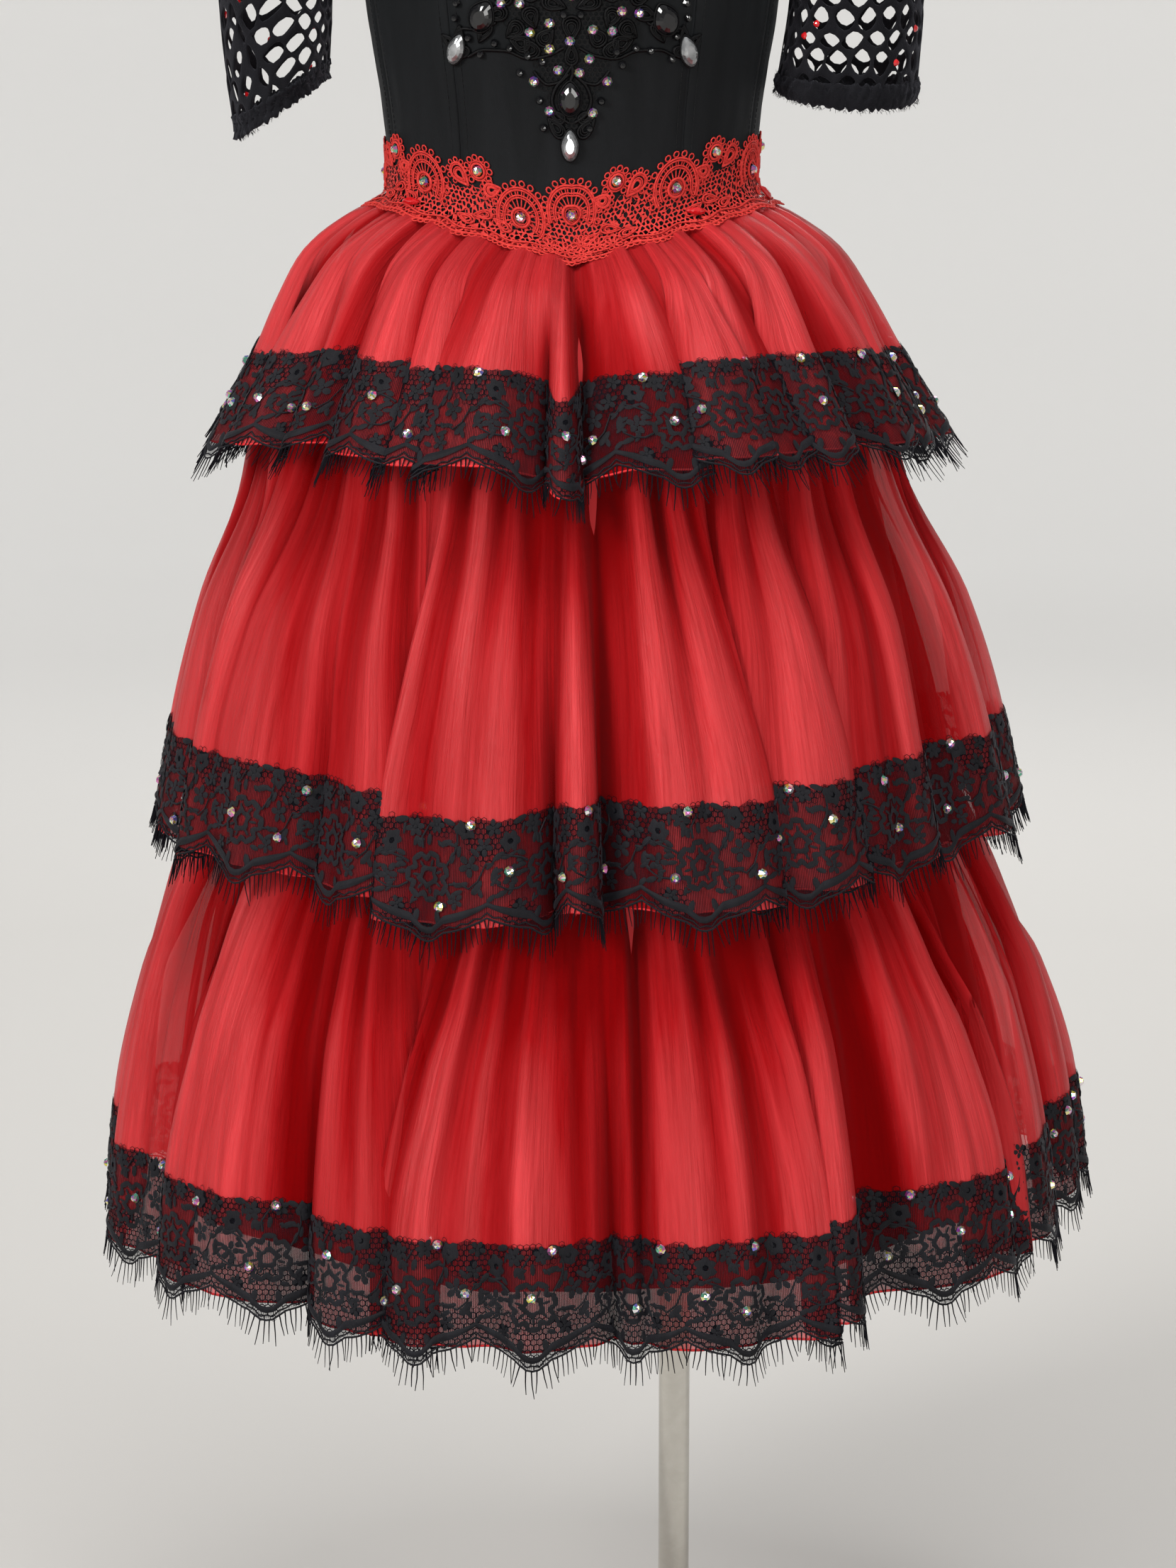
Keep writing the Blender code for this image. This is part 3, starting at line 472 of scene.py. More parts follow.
class ClothSurface(Surface):
    """Surface through a grid of points, closed round the garment.

    Args:
        points: Grid from the lower edge to the upper one, its columns going round.
    """

    def __init__(self, points: Array) -> None:
        """Measure the grid's lengths, and find which way the cloth faces."""
        around = np.roll(points, -1, axis=1) - np.roll(points, 1, axis=1)
        normal = unit(np.cross(around, np.gradient(points, axis=0)))
        self.along = running(np.linalg.norm(np.roll(points[0], -1, axis=0) - points[0], axis=1))
        self.up = running(np.linalg.norm(np.diff(points, axis=0), axis=2).mean(axis=1))
        self.points = np.concatenate([points, points[:, :1]], axis=1)
        self.normals = np.concatenate([normal, normal[:, :1]], axis=1)

    @property
    def width(self) -> float:
        """Length of the lower edge."""
        return float(self.along[-1])

    @property
    def height(self) -> float:
        """Length from the lower edge to the upper one."""
        return float(self.up[-1])

    def bend(self, flat: Array) -> Array:
        """Turn flat coordinates (along, up, lift) into points of the row frame."""
        column = np.interp(flat[:, 0] % self.width, self.along, np.arange(len(self.along)))
        row = np.interp(flat[:, 1], self.up, np.arange(len(self.up)))
        i = np.minimum(column.astype(int), len(self.along) - 2)
        j = np.minimum(row.astype(int), len(self.up) - 2)
        s = (column - i)[:, None]
        t = (row - j)[:, None]

        def read(grid: Array, j: Array, t: Array) -> Array:
            """Read a grid between its points."""
            low = grid[j, i] * (1.0 - s) + grid[j, i + 1] * s
            high = grid[j + 1, i] * (1.0 - s) + grid[j + 1, i + 1] * s
            return low * (1.0 - t) + high * t

        hem = read(self.points, j * 0, t * 0.0)
        rise = unit(read(self.points, j * 0, t * 0.0 + 1.0) - hem)
        below = np.minimum(0.0, flat[:, 1])[:, None]
        return read(self.points, j, t) + rise * below + unit(read(self.normals, j, t)) * flat[:, 2:3]

    def cloth(self, name: str) -> Mesh:
        """Flat cloth with a face for each cell of the grid."""
        columns = len(self.along) - 1
        rows = len(self.up) - 1

        def place(across: Array, up: Array) -> Array:
            """Turn shares of the grid into lengths of cloth."""
            along = np.interp(across * columns, np.arange(columns + 1), self.along)
            rise = np.interp(up * rows, np.arange(rows + 1), self.up)
            return np.column_stack([along, rise, 0.0 * along])

        return flat_cloth(name, columns, rows, place)

    def at_pixel(self, camera: "PhotoCamera", x: float, y: float) -> Pair:
        """Flat place that the photograph shows at a pixel.

        Args:
            camera: Camera of the photograph.
            x: Pixel from the left.
            y: Pixel from the top.

        Returns:
            Place along the cloth and up it.
        """
        across, down, depth = camera.project(self.points.reshape(-1, 3))
        facing = self.normals.reshape(-1, 3)[:, 1] < -0.05
        off = np.hypot(across - x, down - y)
        cost = off + np.where(facing, 0.0, 1000.0) + (depth - depth.min()) * 60.0
        row, column = divmod(int(np.argmin(cost)), len(self.along))
        return float(self.along[column]), float(self.up[row])


@dataclass
class PhotoCamera:
    """Camera that stands where the photograph was taken from."""

    place: Triple = (0.0106, -2.80, 1.270)
    tilt: float = 11.58
    focal_pixels: float = 5833.0
    picture: tuple[int, int] = (1659, 2212)
    sensor: float = 36.0

    def project(self, points: Array) -> tuple[Array, Array, Array]:
        """Pixels of points, and their distance in front of the camera."""
        offset = points - np.array(self.place)
        tilt = math.radians(self.tilt)
        depth = offset[:, 1] * math.cos(tilt) - offset[:, 2] * math.sin(tilt)
        rise = offset[:, 1] * math.sin(tilt) + offset[:, 2] * math.cos(tilt)
        return (self.picture[0] / 2.0 + self.focal_pixels * offset[:, 0] / depth,
                self.picture[1] / 2.0 - self.focal_pixels * rise / depth, depth)

    def build(self) -> None:
        """Make it the scene's camera."""
        camera = bpy.data.cameras.new("photo_camera")
        camera.sensor_width = self.sensor
        camera.lens = self.focal_pixels / max(self.picture) * self.sensor
        camera.clip_start = 0.05
        item = bpy.data.objects.new("photo_camera", camera)
        item.location = self.place
        item.rotation_euler = (math.radians(90.0 - self.tilt), 0.0, 0.0)
        bpy.context.scene.collection.objects.link(item)
        bpy.context.scene.camera = item


class Coordinates(Enum):
    """Coordinates that a finish's pattern follows."""

    CLOTH = "cloth"
    OBJECT = "object"


class Nodes:
    """Node tree, with short ways to add nodes and join them up."""

    def __init__(self, tree: NodeTree) -> None:
        """Take a node tree."""
        self.tree = tree

    def feed(self, node: Node, inputs: dict[str | int, object]) -> None:
        """Give a node's inputs their numbers, or join them to the sockets that feed them."""
        for name, value in inputs.items():
            if isinstance(value, NodeSocket):
                self.tree.links.new(value, node.inputs[name])
            else:
                node.inputs[name].default_value = value

    def node(self, kind: str, inputs: dict[str | int, object] | None = None, **settings: object) -> Node:
        """Add a shader node.

        Args:
            kind: Its kind, without the words that every shader node's kind starts with.
            inputs: Number or socket for each input.
            settings: Its other settings.

        Returns:
            The node.
        """
        node = self.tree.nodes.new(f"ShaderNode{kind}")
        for name, value in settings.items():
            setattr(node, name, value)
        self.feed(node, inputs or {})
        return node


class Paint(Nodes):
    """One material's node tree, with its shader at hand."""

    def __init__(self, name: str, follows: Coordinates = Coordinates.OBJECT) -> None:
        """Make a new material."""
        self.material = bpy.data.materials.new(name)
        self.material.use_nodes = True
        super().__init__(self.material.node_tree)
        self.shader = self.tree.nodes["Principled BSDF"]
        if follows is Coordinates.CLOTH:
            self.place = self.node("UVMap", uv_map="cloth").outputs["UV"]
        else:
            self.place = self.node("TexCoord").outputs["Object"]

    def set(self, **values: object) -> None:
        """Give the shader's sockets their numbers, or join them to what feeds them."""
        self.feed(self.shader, {name.replace("_", " "): value for name, value in values.items()})

    def effect(self, group: NodeTree, **values: float) -> NodeSocket:
        """What a shared effect puts out, on the piece's coordinates and with its own values."""
        return self.node("Group", {"Place": self.place, **values}, node_tree=group).outputs[0]

    def colours(self, mask: NodeSocket, low: Triple, high: Triple, start: float, end: float) -> NodeSocket:
        """Colour that runs from low to high with a mask, as Base Color."""
        ramp = self.node("ValToRGB", {"Fac": mask})
        ramp.color_ramp.elements[0].position = start
        ramp.color_ramp.elements[0].color = (*low, 1.0)
        ramp.color_ramp.elements[1].position = end
        ramp.color_ramp.elements[1].color = (*high, 1.0)
        self.set(Base_Color=ramp.outputs["Color"])
        return ramp.outputs["Color"]

    def relief(self, height: NodeSocket, distance: float, under: NodeSocket | None = None) -> NodeSocket:
        """Raise the surface with a height, on top of another relief if there is one."""
        bump = self.node("Bump", {"Strength": 1.0, "Distance": distance, "Height": height})
        if under is not None:
            self.feed(bump, {"Normal": under})
        self.set(Normal=bump.outputs["Normal"])
        return bump.outputs["Normal"]

    def paint_valley_shade(self, colour: NodeSocket, valley_shade: Triple, gloss: float) -> None:
        """Paint shade into the folds: deepen the colour and dull the gloss where the cloth lies back in a fold."""
        depth = self.node("Attribute", attribute_name="valley_shade").outputs["Fac"]
        mix = self.node("Mix", {"Factor": depth, "A": colour, "B": (*valley_shade, 1.0)}, data_type="RGBA")
        dulled = self.node("MapRange", {"Value": depth, "From Max": 0.5, "To Min": gloss, "To Max": 0.0})
        self.set(Base_Color=mix.outputs["Result"], Specular_IOR_Level=dulled.outputs["Result"])

    def thin_out(self, lines: NodeSocket, patches: NodeSocket, low: float, high: float) -> None:
        """Let a fine net thin out between its threads and in patches."""
        blend = self.node("Math", {0: lines, 1: patches}, operation="MULTIPLY").outputs[0]
        ranged = self.node("MapRange", {"Value": blend, "From Min": 0.12, "From Max": 0.42, "To Min": low,
                                        "To Max": high})
        self.set(Alpha=ranged.outputs["Result"])


class Effect(Nodes):
    """Shared shader effect: a node group with a Place input, number inputs and one number output."""

    def __init__(self, name: str, output: str, **inputs: float) -> None:
        """Make the group and its sockets."""
        super().__init__(bpy.data.node_groups.new(name, "ShaderNodeTree"))
        sockets = self.tree.interface
        sockets.new_socket("Place", in_out="INPUT", socket_type="NodeSocketVector")
        for label, value in inputs.items():
            sockets.new_socket(label, in_out="INPUT", socket_type="NodeSocketFloat").default_value = value
        sockets.new_socket(output, in_out="OUTPUT", socket_type="NodeSocketFloat")
        self.given = self.tree.nodes.new("NodeGroupInput").outputs
        self.end = self.tree.nodes.new("NodeGroupOutput")

    def maths(self, operation: str, *values: NodeSocket | float) -> NodeSocket:
        """Result of a Math node on sockets or numbers."""
        return self.node("Math", dict(enumerate(values)), operation=operation).outputs[0]

    def close(self, result: NodeSocket) -> NodeTree:
        """Put a result out, and hand over the group."""
        self.feed(self.end, {0: result})
        return self.tree


def plain_weave() -> NodeTree:
    """Plain weave: threads across and along, each passing over and under."""
    effect = Effect("plain_weave", "Height", Threads=1000.0, Picks=1000.0)
    place = effect.node("SeparateXYZ", {0: effect.given["Place"]}).outputs
    waves = []
    for side, count, wave in (("X", "Threads", "SINE"), ("Y", "Picks", "COSINE")):
        turns = effect.maths("MULTIPLY", place[side], effect.given[count])
        waves.append(effect.maths(wave, effect.maths("MULTIPLY", turns, 2.0 * math.pi)))
    return effect.close(effect.maths("MULTIPLY_ADD", effect.maths("MULTIPLY", *waves), 0.5, 0.5))


def drawn_streaks() -> NodeTree:
    """Noise that is drawn out along the cloth, for slub, crinkle and brushed metal."""
    effect = Effect("drawn_streaks", "Fac", Across=300.0, Along=20.0, Detail=3.0)
    across = effect.given["Across"]
    scale = effect.node("CombineXYZ", {"X": across, "Y": effect.given["Along"], "Z": across})
    place = effect.node("VectorMath", {0: effect.given["Place"], 1: scale.outputs[0]}, operation="MULTIPLY")
    noise = effect.node("TexNoise", {"Vector": place.outputs[0], "Scale": 1.0, "Distortion": 0.6,
                                     "Roughness": 0.66, "Detail": effect.given["Detail"]})
    return effect.close(noise.outputs["Fac"])


def soft_mottle() -> NodeTree:
    """Soft uneven patches, for shade changes, fuzz and wear."""
    effect = Effect("soft_mottle", "Fac", Scale=60.0, Detail=4.0)
    noise = effect.node("TexNoise", {"Vector": effect.given["Place"], "Scale": effect.given["Scale"],
                                     "Detail": effect.given["Detail"]})
    return effect.close(noise.outputs["Fac"])


class Effects:
    """Shared shader effects, each built once."""

    def __init__(self) -> None:
        """Build each effect."""
        self.weave = plain_weave()
        self.streaks = drawn_streaks()
        self.mottle = soft_mottle()


@dataclass(frozen=True)
class ClothFinish:
    """Cloth or thread: a weave or fuzz, drawn-out slub, a soft change of shade, and for some a painted shade in
    fold valleys.
    """

    name: str
    slot: str
    dark: Triple
    light: Triple
    roughness: float = 0.7
    sheen: float = 0.2
    sheen_tint: Triple = (1.0, 1.0, 1.0)
    alpha: float = 1.0
    gloss: float = 0.3
    threads: float = 0.0
    picks: float = 0.0
    weave_height: float = 0.0001
    slub_across: float = 0.0
    slub_along: float = 10.0
    slub_height: float = 0.0002
    fuzz_scale: float = 0.0
    fuzz_height: float = 0.0002
    shade_across: float = 40.0
    shade_along: float = 6.0
    # Colour of the painted shade that fold valleys take, if any.
    valley_shade: Triple | None = None
    stripes: float = 0.0
    clear_alpha: float = 0.0

    def build(self, effects: Effects) -> Material:
        """Make the material."""
        paint = Paint(self.name, Coordinates.CLOTH)
        shade = paint.effect(effects.streaks, Across=self.shade_across, Along=self.shade_along, Detail=6.0)
        colour = paint.colours(shade, self.dark, self.light, 0.3, 0.7)
        # Painted shade: the colour darkens and the gloss dulls where the cloth lies back in a fold.
        if self.valley_shade:
            paint.paint_valley_shade(colour, self.valley_shade, self.gloss)
        if self.stripes:
            lines = paint.effect(effects.weave, Threads=self.stripes, Picks=0.0)
            paint.thin_out(lines, shade, self.clear_alpha, self.alpha)
        else:
            paint.set(Alpha=self.alpha)
        normal = None
        if self.slub_across:
            slub = paint.effect(effects.streaks, Across=self.slub_across, Along=self.slub_along, Detail=4.0)
            normal = paint.relief(slub, self.slub_height)
        if self.threads:
            weave = paint.effect(effects.weave, Threads=self.threads, Picks=self.picks or self.threads)
            normal = paint.relief(weave, self.weave_height, normal)
        if self.fuzz_scale:
            fuzz = paint.effect(effects.mottle, Scale=self.fuzz_scale, Detail=5.0)
            paint.relief(fuzz, self.fuzz_height, normal)
        paint.set(Roughness=self.roughness, Sheen_Weight=self.sheen, Sheen_Tint=(*self.sheen_tint, 1.0),
                  Sheen_Roughness=0.45, Specular_IOR_Level=self.gloss)
        return paint.material


@dataclass(frozen=True)
class HardFinish:
    """Metal, glass-like or varnished piece with faint marks of use."""

    name: str
    slot: str
    dark: Triple
    light: Triple
    roughness: float = 0.1
    metallic: float = 0.0
    coat: float = 0.0
    marks_across: float = 30.0
    marks_along: float = 30.0
    marks_height: float = 0.0

    def build(self, effects: Effects) -> Material:
        """Make the material."""
        paint = Paint(self.name)
        marks = paint.effect(effects.streaks, Across=self.marks_across, Along=self.marks_along, Detail=5.0)
        paint.colours(marks, self.dark, self.light, 0.35, 0.65)
        if self.marks_height:
            paint.relief(marks, self.marks_height)
        paint.set(Roughness=self.roughness, Metallic=self.metallic, Coat_Weight=self.coat, Coat_Roughness=0.03)
        return paint.material


@dataclass(frozen=True)
class CrystalFinish:
    """Cut crystal with an iridescent coating, each facet in its own tint."""

    name: str = "crystal_coated"
    slot: str = "crystal"
    tints: tuple[Triple, ...] = (
        (0.40, 0.10, 0.62), (0.72, 0.64, 0.10), (0.86, 0.82, 0.84), (0.14, 0.46, 0.32),
        (0.70, 0.20, 0.50), (0.84, 0.78, 0.36), (0.22, 0.20, 0.66), (0.80, 0.78, 0.84),
    )

    def build(self, effects: Effects) -> Material:
        """Make the material: the tint follows where a facet looks and where the stone sits."""
        paint = Paint(self.name)
        facing = paint.node("NewGeometry").outputs["True Normal"]
        scaled = paint.node("VectorMath", {0: facing, "Scale": 1.6}, operation="SCALE").outputs[0]
        spread = paint.node("VectorMath", {0: paint.place, 1: (55.0, 55.0, 55.0), 2: scaled},
                            operation="MULTIPLY_ADD")
        noise = paint.node("TexNoise", {"Vector": spread.outputs[0], "Scale": 1.1, "Detail": 1.0})
        ramp = paint.node("ValToRGB", {"Fac": noise.outputs["Fac"]})
        stops = ramp.color_ramp.elements
        ramp.color_ramp.interpolation = "CONSTANT"
        stops.remove(stops[1])
        for k, tint in enumerate(self.tints):
            place = 0.26 + 0.48 * k / len(self.tints)
            stop = stops[0] if k == 0 else stops.new(place)
            stop.position = place
            stop.color = (*tint, 1.0)
        paint.set(Base_Color=ramp.outputs["Color"], Roughness=0.05, Metallic=0.85, Coat_Weight=0.25,
                  Coat_Roughness=0.02)
        return paint.material


FINISHES = (
    ClothFinish("organza_cloth", "organza", (0.34, 0.004, 0.006), (0.60, 0.030, 0.036), 0.42, 0.05,
                (1.0, 0.24, 0.26), 0.80, gloss=0.34, slub_across=380.0, slub_along=13.0, slub_height=0.0013,
                threads=1500.0, weave_height=0.00005, shade_across=85.0, shade_along=5.0,
                valley_shade=(0.17, 0.0004, 0.0010)),
    ClothFinish("lining_satin", "lining_cloth", (0.36, 0.005, 0.008), (0.46, 0.009, 0.012), 0.55, 0.1,
                (1.0, 0.15, 0.15), gloss=0.25, threads=1800.0, weave_height=0.00004),
    ClothFinish("hem_thread", "organza", (0.42, 0.006, 0.009), (0.58, 0.012, 0.016), 0.6, 0.1,
                (1.0, 0.3, 0.3), fuzz_scale=900.0, fuzz_height=0.0001),
    ClothFinish("lace_net", "black_lace", (0.0022, 0.0022, 0.0034), (0.006, 0.006, 0.0085), 0.85, 0.02,
                (0.6, 0.6, 0.7), gloss=0.05, fuzz_scale=1400.0, fuzz_height=0.00015),
    ClothFinish("lace_shadow_net", "black_lace", (0.0022, 0.0022, 0.0034), (0.006, 0.006, 0.0085), 0.85, 0.0,
                alpha=0.88, gloss=0.04, fuzz_scale=1400.0, fuzz_height=0.00015, shade_across=70.0,
                shade_along=70.0, stripes=900.0, clear_alpha=0.28),
    ClothFinish("lace_satin_stitch", "black_lace", (0.0025, 0.0025, 0.0035), (0.009, 0.009, 0.012), 0.6, 0.05,
                (0.6, 0.6, 0.7), gloss=0.12, slub_across=1600.0, slub_along=260.0, slub_height=0.0003),
    ClothFinish("bodice_cloth", "bodice_cloth", (0.0036, 0.0042, 0.0048), (0.0066, 0.0074, 0.0084), 0.62, 0.03,
                (0.8, 0.88, 0.95), gloss=0.09, slub_across=520.0, slub_along=70.0, slub_height=0.00012,
                threads=1300.0, weave_height=0.00008),
    ClothFinish("bodice_thread", "bodice_cloth", (0.003, 0.003, 0.0035), (0.006, 0.006, 0.007), 0.55, 0.02,
                gloss=0.15, fuzz_scale=1500.0, fuzz_height=0.0001),
    ClothFinish("guipure_thread", "red_guipure", (0.34, 0.010, 0.009), (0.60, 0.042, 0.033), 0.6, 0.12,
                (1.0, 0.3, 0.3), gloss=0.18, slub_across=1500.0, slub_along=1500.0, slub_height=0.0003,
                shade_across=300.0, shade_along=300.0),
    ClothFinish("sleeve_cord", "sleeve_net", (0.003, 0.003, 0.0038), (0.009, 0.009, 0.011), 0.9, 0.12,
                (0.5, 0.5, 0.6), gloss=0.06, fuzz_scale=1100.0, fuzz_height=0.0006),
    ClothFinish("applique_cord", "applique_cord", (0.0006, 0.0006, 0.0008), (0.0030, 0.0030, 0.0036), 0.5, 0.0,
                gloss=0.12, slub_across=1500.0, slub_along=900.0, slub_height=0.0003),
    ClothFinish("form_jersey", "form_cover", (0.56, 0.52, 0.46), (0.66, 0.62, 0.56), 0.85, 0.3,
                threads=700.0, picks=500.0, weave_height=0.0002, shade_across=8.0),
    HardFinish("polished_chrome", "chrome", (0.60, 0.58, 0.53), (0.66, 0.64, 0.59), 0.08, 1.0,
               marks_across=60.0, marks_along=4.0),
    HardFinish("varnished_wood", "neck_wood", (0.16, 0.08, 0.04), (0.34, 0.19, 0.10), 0.35, 0.0, 0.5,
               marks_across=120.0, marks_along=12.0, marks_height=0.0001),
    HardFinish("black_stone", "stone_black", (0.002, 0.002, 0.0025), (0.007, 0.007, 0.008), 0.04, 0.0, 0.1),
    HardFinish("grey_stone", "stone_grey", (0.10, 0.105, 0.11), (0.36, 0.37, 0.38), 0.05, 0.6, 1.0,
               marks_across=90.0, marks_along=90.0),
    HardFinish("red_bead", "red_bead", (0.36, 0.003, 0.005), (0.56, 0.010, 0.014), 0.08, 0.0, 1.0),
    CrystalFinish(),
)

class Wardrobe:
    """Finishes by name, and the making of dressed pieces."""

    def __init__(self) -> None:
        """Build every finish."""
        self.effects = Effects()
        self.materials = {finish.name: finish.build(self.effects) for finish in FINISHES}
        self.slots = {finish.name: finish.slot for finish in FINISHES}

    def piece(self, name: str, mesh: Mesh, finish: str, smooth: bool = True) -> Object:
        """Add a finished piece that rides on the body, in place of the CAD node of its name if there is one.

        Args:
            name: Name of the piece.
            mesh: Its mesh, already in its place.
            finish: Name of its finish.
            smooth: Whether it is shaded smooth.

        Returns:
            The new object.
        """
        in_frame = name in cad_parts
        label = f"{name}_finished" if in_frame else name
        mesh.name = label
        item = bpy.data.objects.new(label, mesh)
        mesh.materials.clear()
        mesh.materials.append(self.materials[finish])
        if smooth:
            mesh.shade_smooth()
        else:
            mesh.shade_flat()
        bpy.context.scene.collection.objects.link(item)
        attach(item, "root")
        if in_frame:
            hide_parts(name)
        LOG.info("%s: %d faces, %.4f square metres", name, len(mesh.polygons), cloth_area(item))
        return item


@dataclass
class Assembly:
    """Part of the costume or of its stand, which adds its own pieces."""

    wardrobe: Wardrobe

    def sew(self, name: str, flat: Mesh, finish: str) -> Object:
        """Bend a flat piece onto the part's surface and finish it."""
        return self.wardrobe.piece(name, self.surface.lay(flat), finish)


def cloth_area(item: Object) -> float:
    """Area of a sheet's single layer, before its wall."""
    return float(sum(polygon.area for polygon in item.data.polygons))


def add_wall(item: Object, thickness: float, offset: float = -1.0) -> None:
    """Give a sheet its thickness; an offset of -1 puts it inside."""
    wall = item.modifiers.new("Wall", "SOLIDIFY")
    wall.thickness = thickness
    wall.offset = offset


def add_rounding(item: Object) -> None:
    """Round a piece with a subdivision surface."""
    rounding = item.modifiers.new("Rounding", "SUBSURF")
    rounding.levels = 1
    rounding.render_levels = 1


class Threads:
    """Cords and threads in flat coordinates, which become one mesh.

    Args:
        radius: Radius of a thread whose own scale is 1.
        roundness: 0 for a four-sided thread, 1 for six sides, 2 for eight.
    """

    def __init__(self, radius: float, roundness: int = 0) -> None:
        """Start an empty curve."""
        self.curve = bpy.data.curves.new("threads", "CURVE")
        self.curve.dimensions = "3D"
        self.curve.bevel_depth = radius
        self.curve.bevel_resolution = roundness
        self.curve.use_fill_caps = True

    def add(self, points: Sequence[Sequence[float]], scale: float | Sequence[float] = 1.0,
            closed: bool = False) -> None:
        """Add one thread through points."""
        points = np.asarray(points, float)
        line = self.curve.splines.new("POLY")
        line.points.add(len(points) - 1)
        line.points.foreach_set("co", np.column_stack([points, np.ones(len(points))]).ravel())
        line.points.foreach_set("radius", np.broadcast_to(np.asarray(scale, float), len(points)).copy())
        line.use_cyclic_u = closed

    def loop(self, points: Sequence[Sequence[float]], scale: float = 1.0) -> None:
        """Add one closed thread."""
        self.add(points, scale, True)

    def mesh(self, name: str) -> Mesh:
        """Turn the threads into one mesh."""
        item = bpy.data.objects.new(name, self.curve)
        bpy.context.scene.collection.objects.link(item)
        graph = bpy.context.evaluated_depsgraph_get()
        mesh = bpy.data.meshes.new_from_object(item.evaluated_get(graph))
        bpy.data.objects.remove(item)
        bpy.data.curves.remove(self.curve)
        mesh.name = name
        return mesh


def swing(centre: Sequence[float], x: float, y: float, turn: float) -> Pair:
    """Place of (x, y), turned about its origin and moved to a centre."""
    return (centre[0] + x * math.cos(turn) - y * math.sin(turn),
            centre[1] + x * math.sin(turn) + y * math.cos(turn))


def arc_points(centre: Sequence[float], radius: float, start: float, end: float, count: int,
               lift: float = 0.0, squash: float = 1.0) -> list[Triple]:
    """Points on an arc in flat coordinates, angles in degrees from +x."""
    angles = [math.radians(start + (end - start) * k / count) for k in range(count + 1)]
    return [(centre[0] + radius * math.cos(angle), centre[1] + radius * squash * math.sin(angle), lift)
            for angle in angles]


def teardrop(x: float, y: float, length: float, width: float, degrees: float, lift: float,
             count: int = 16) -> list[Triple]:
    """Closed teardrop line, its point towards the turned +x."""
    points = []
    for k in range(count):
        angle = 2.0 * math.pi * k / count
        across = width / 2.0 * math.sin(angle) * abs(math.sin(angle / 2.0)) ** 1.2 * 1.25
        points.append((*swing((x, y), length / 2.0 * math.cos(angle), across, math.radians(degrees)), lift))
    return points


def pear_place(angle: float, length: float, width: float) -> Pair:
    """Place on the outline of a pear-cut stone, its point towards +Y."""
    taper = 1.0 - 0.42 * max(0.0, math.sin(angle)) ** 1.5
    return math.cos(angle) * taper * width / 2.0, math.sin(angle) * length / 2.0


FIRST_FOLD = -90.0
DEPTH_GAIN = 1.5
# Inset and gather height at which the painted shade in fold valleys and gather hollows is full.
VALLEY_SHADE_DEPTH = 0.028
GATHER_SHADE_DEPTH = 0.012
GATHER_SWELL = 0.9
GATHER_SCALE = 1.25
GATHER_LEVEL = 1.08


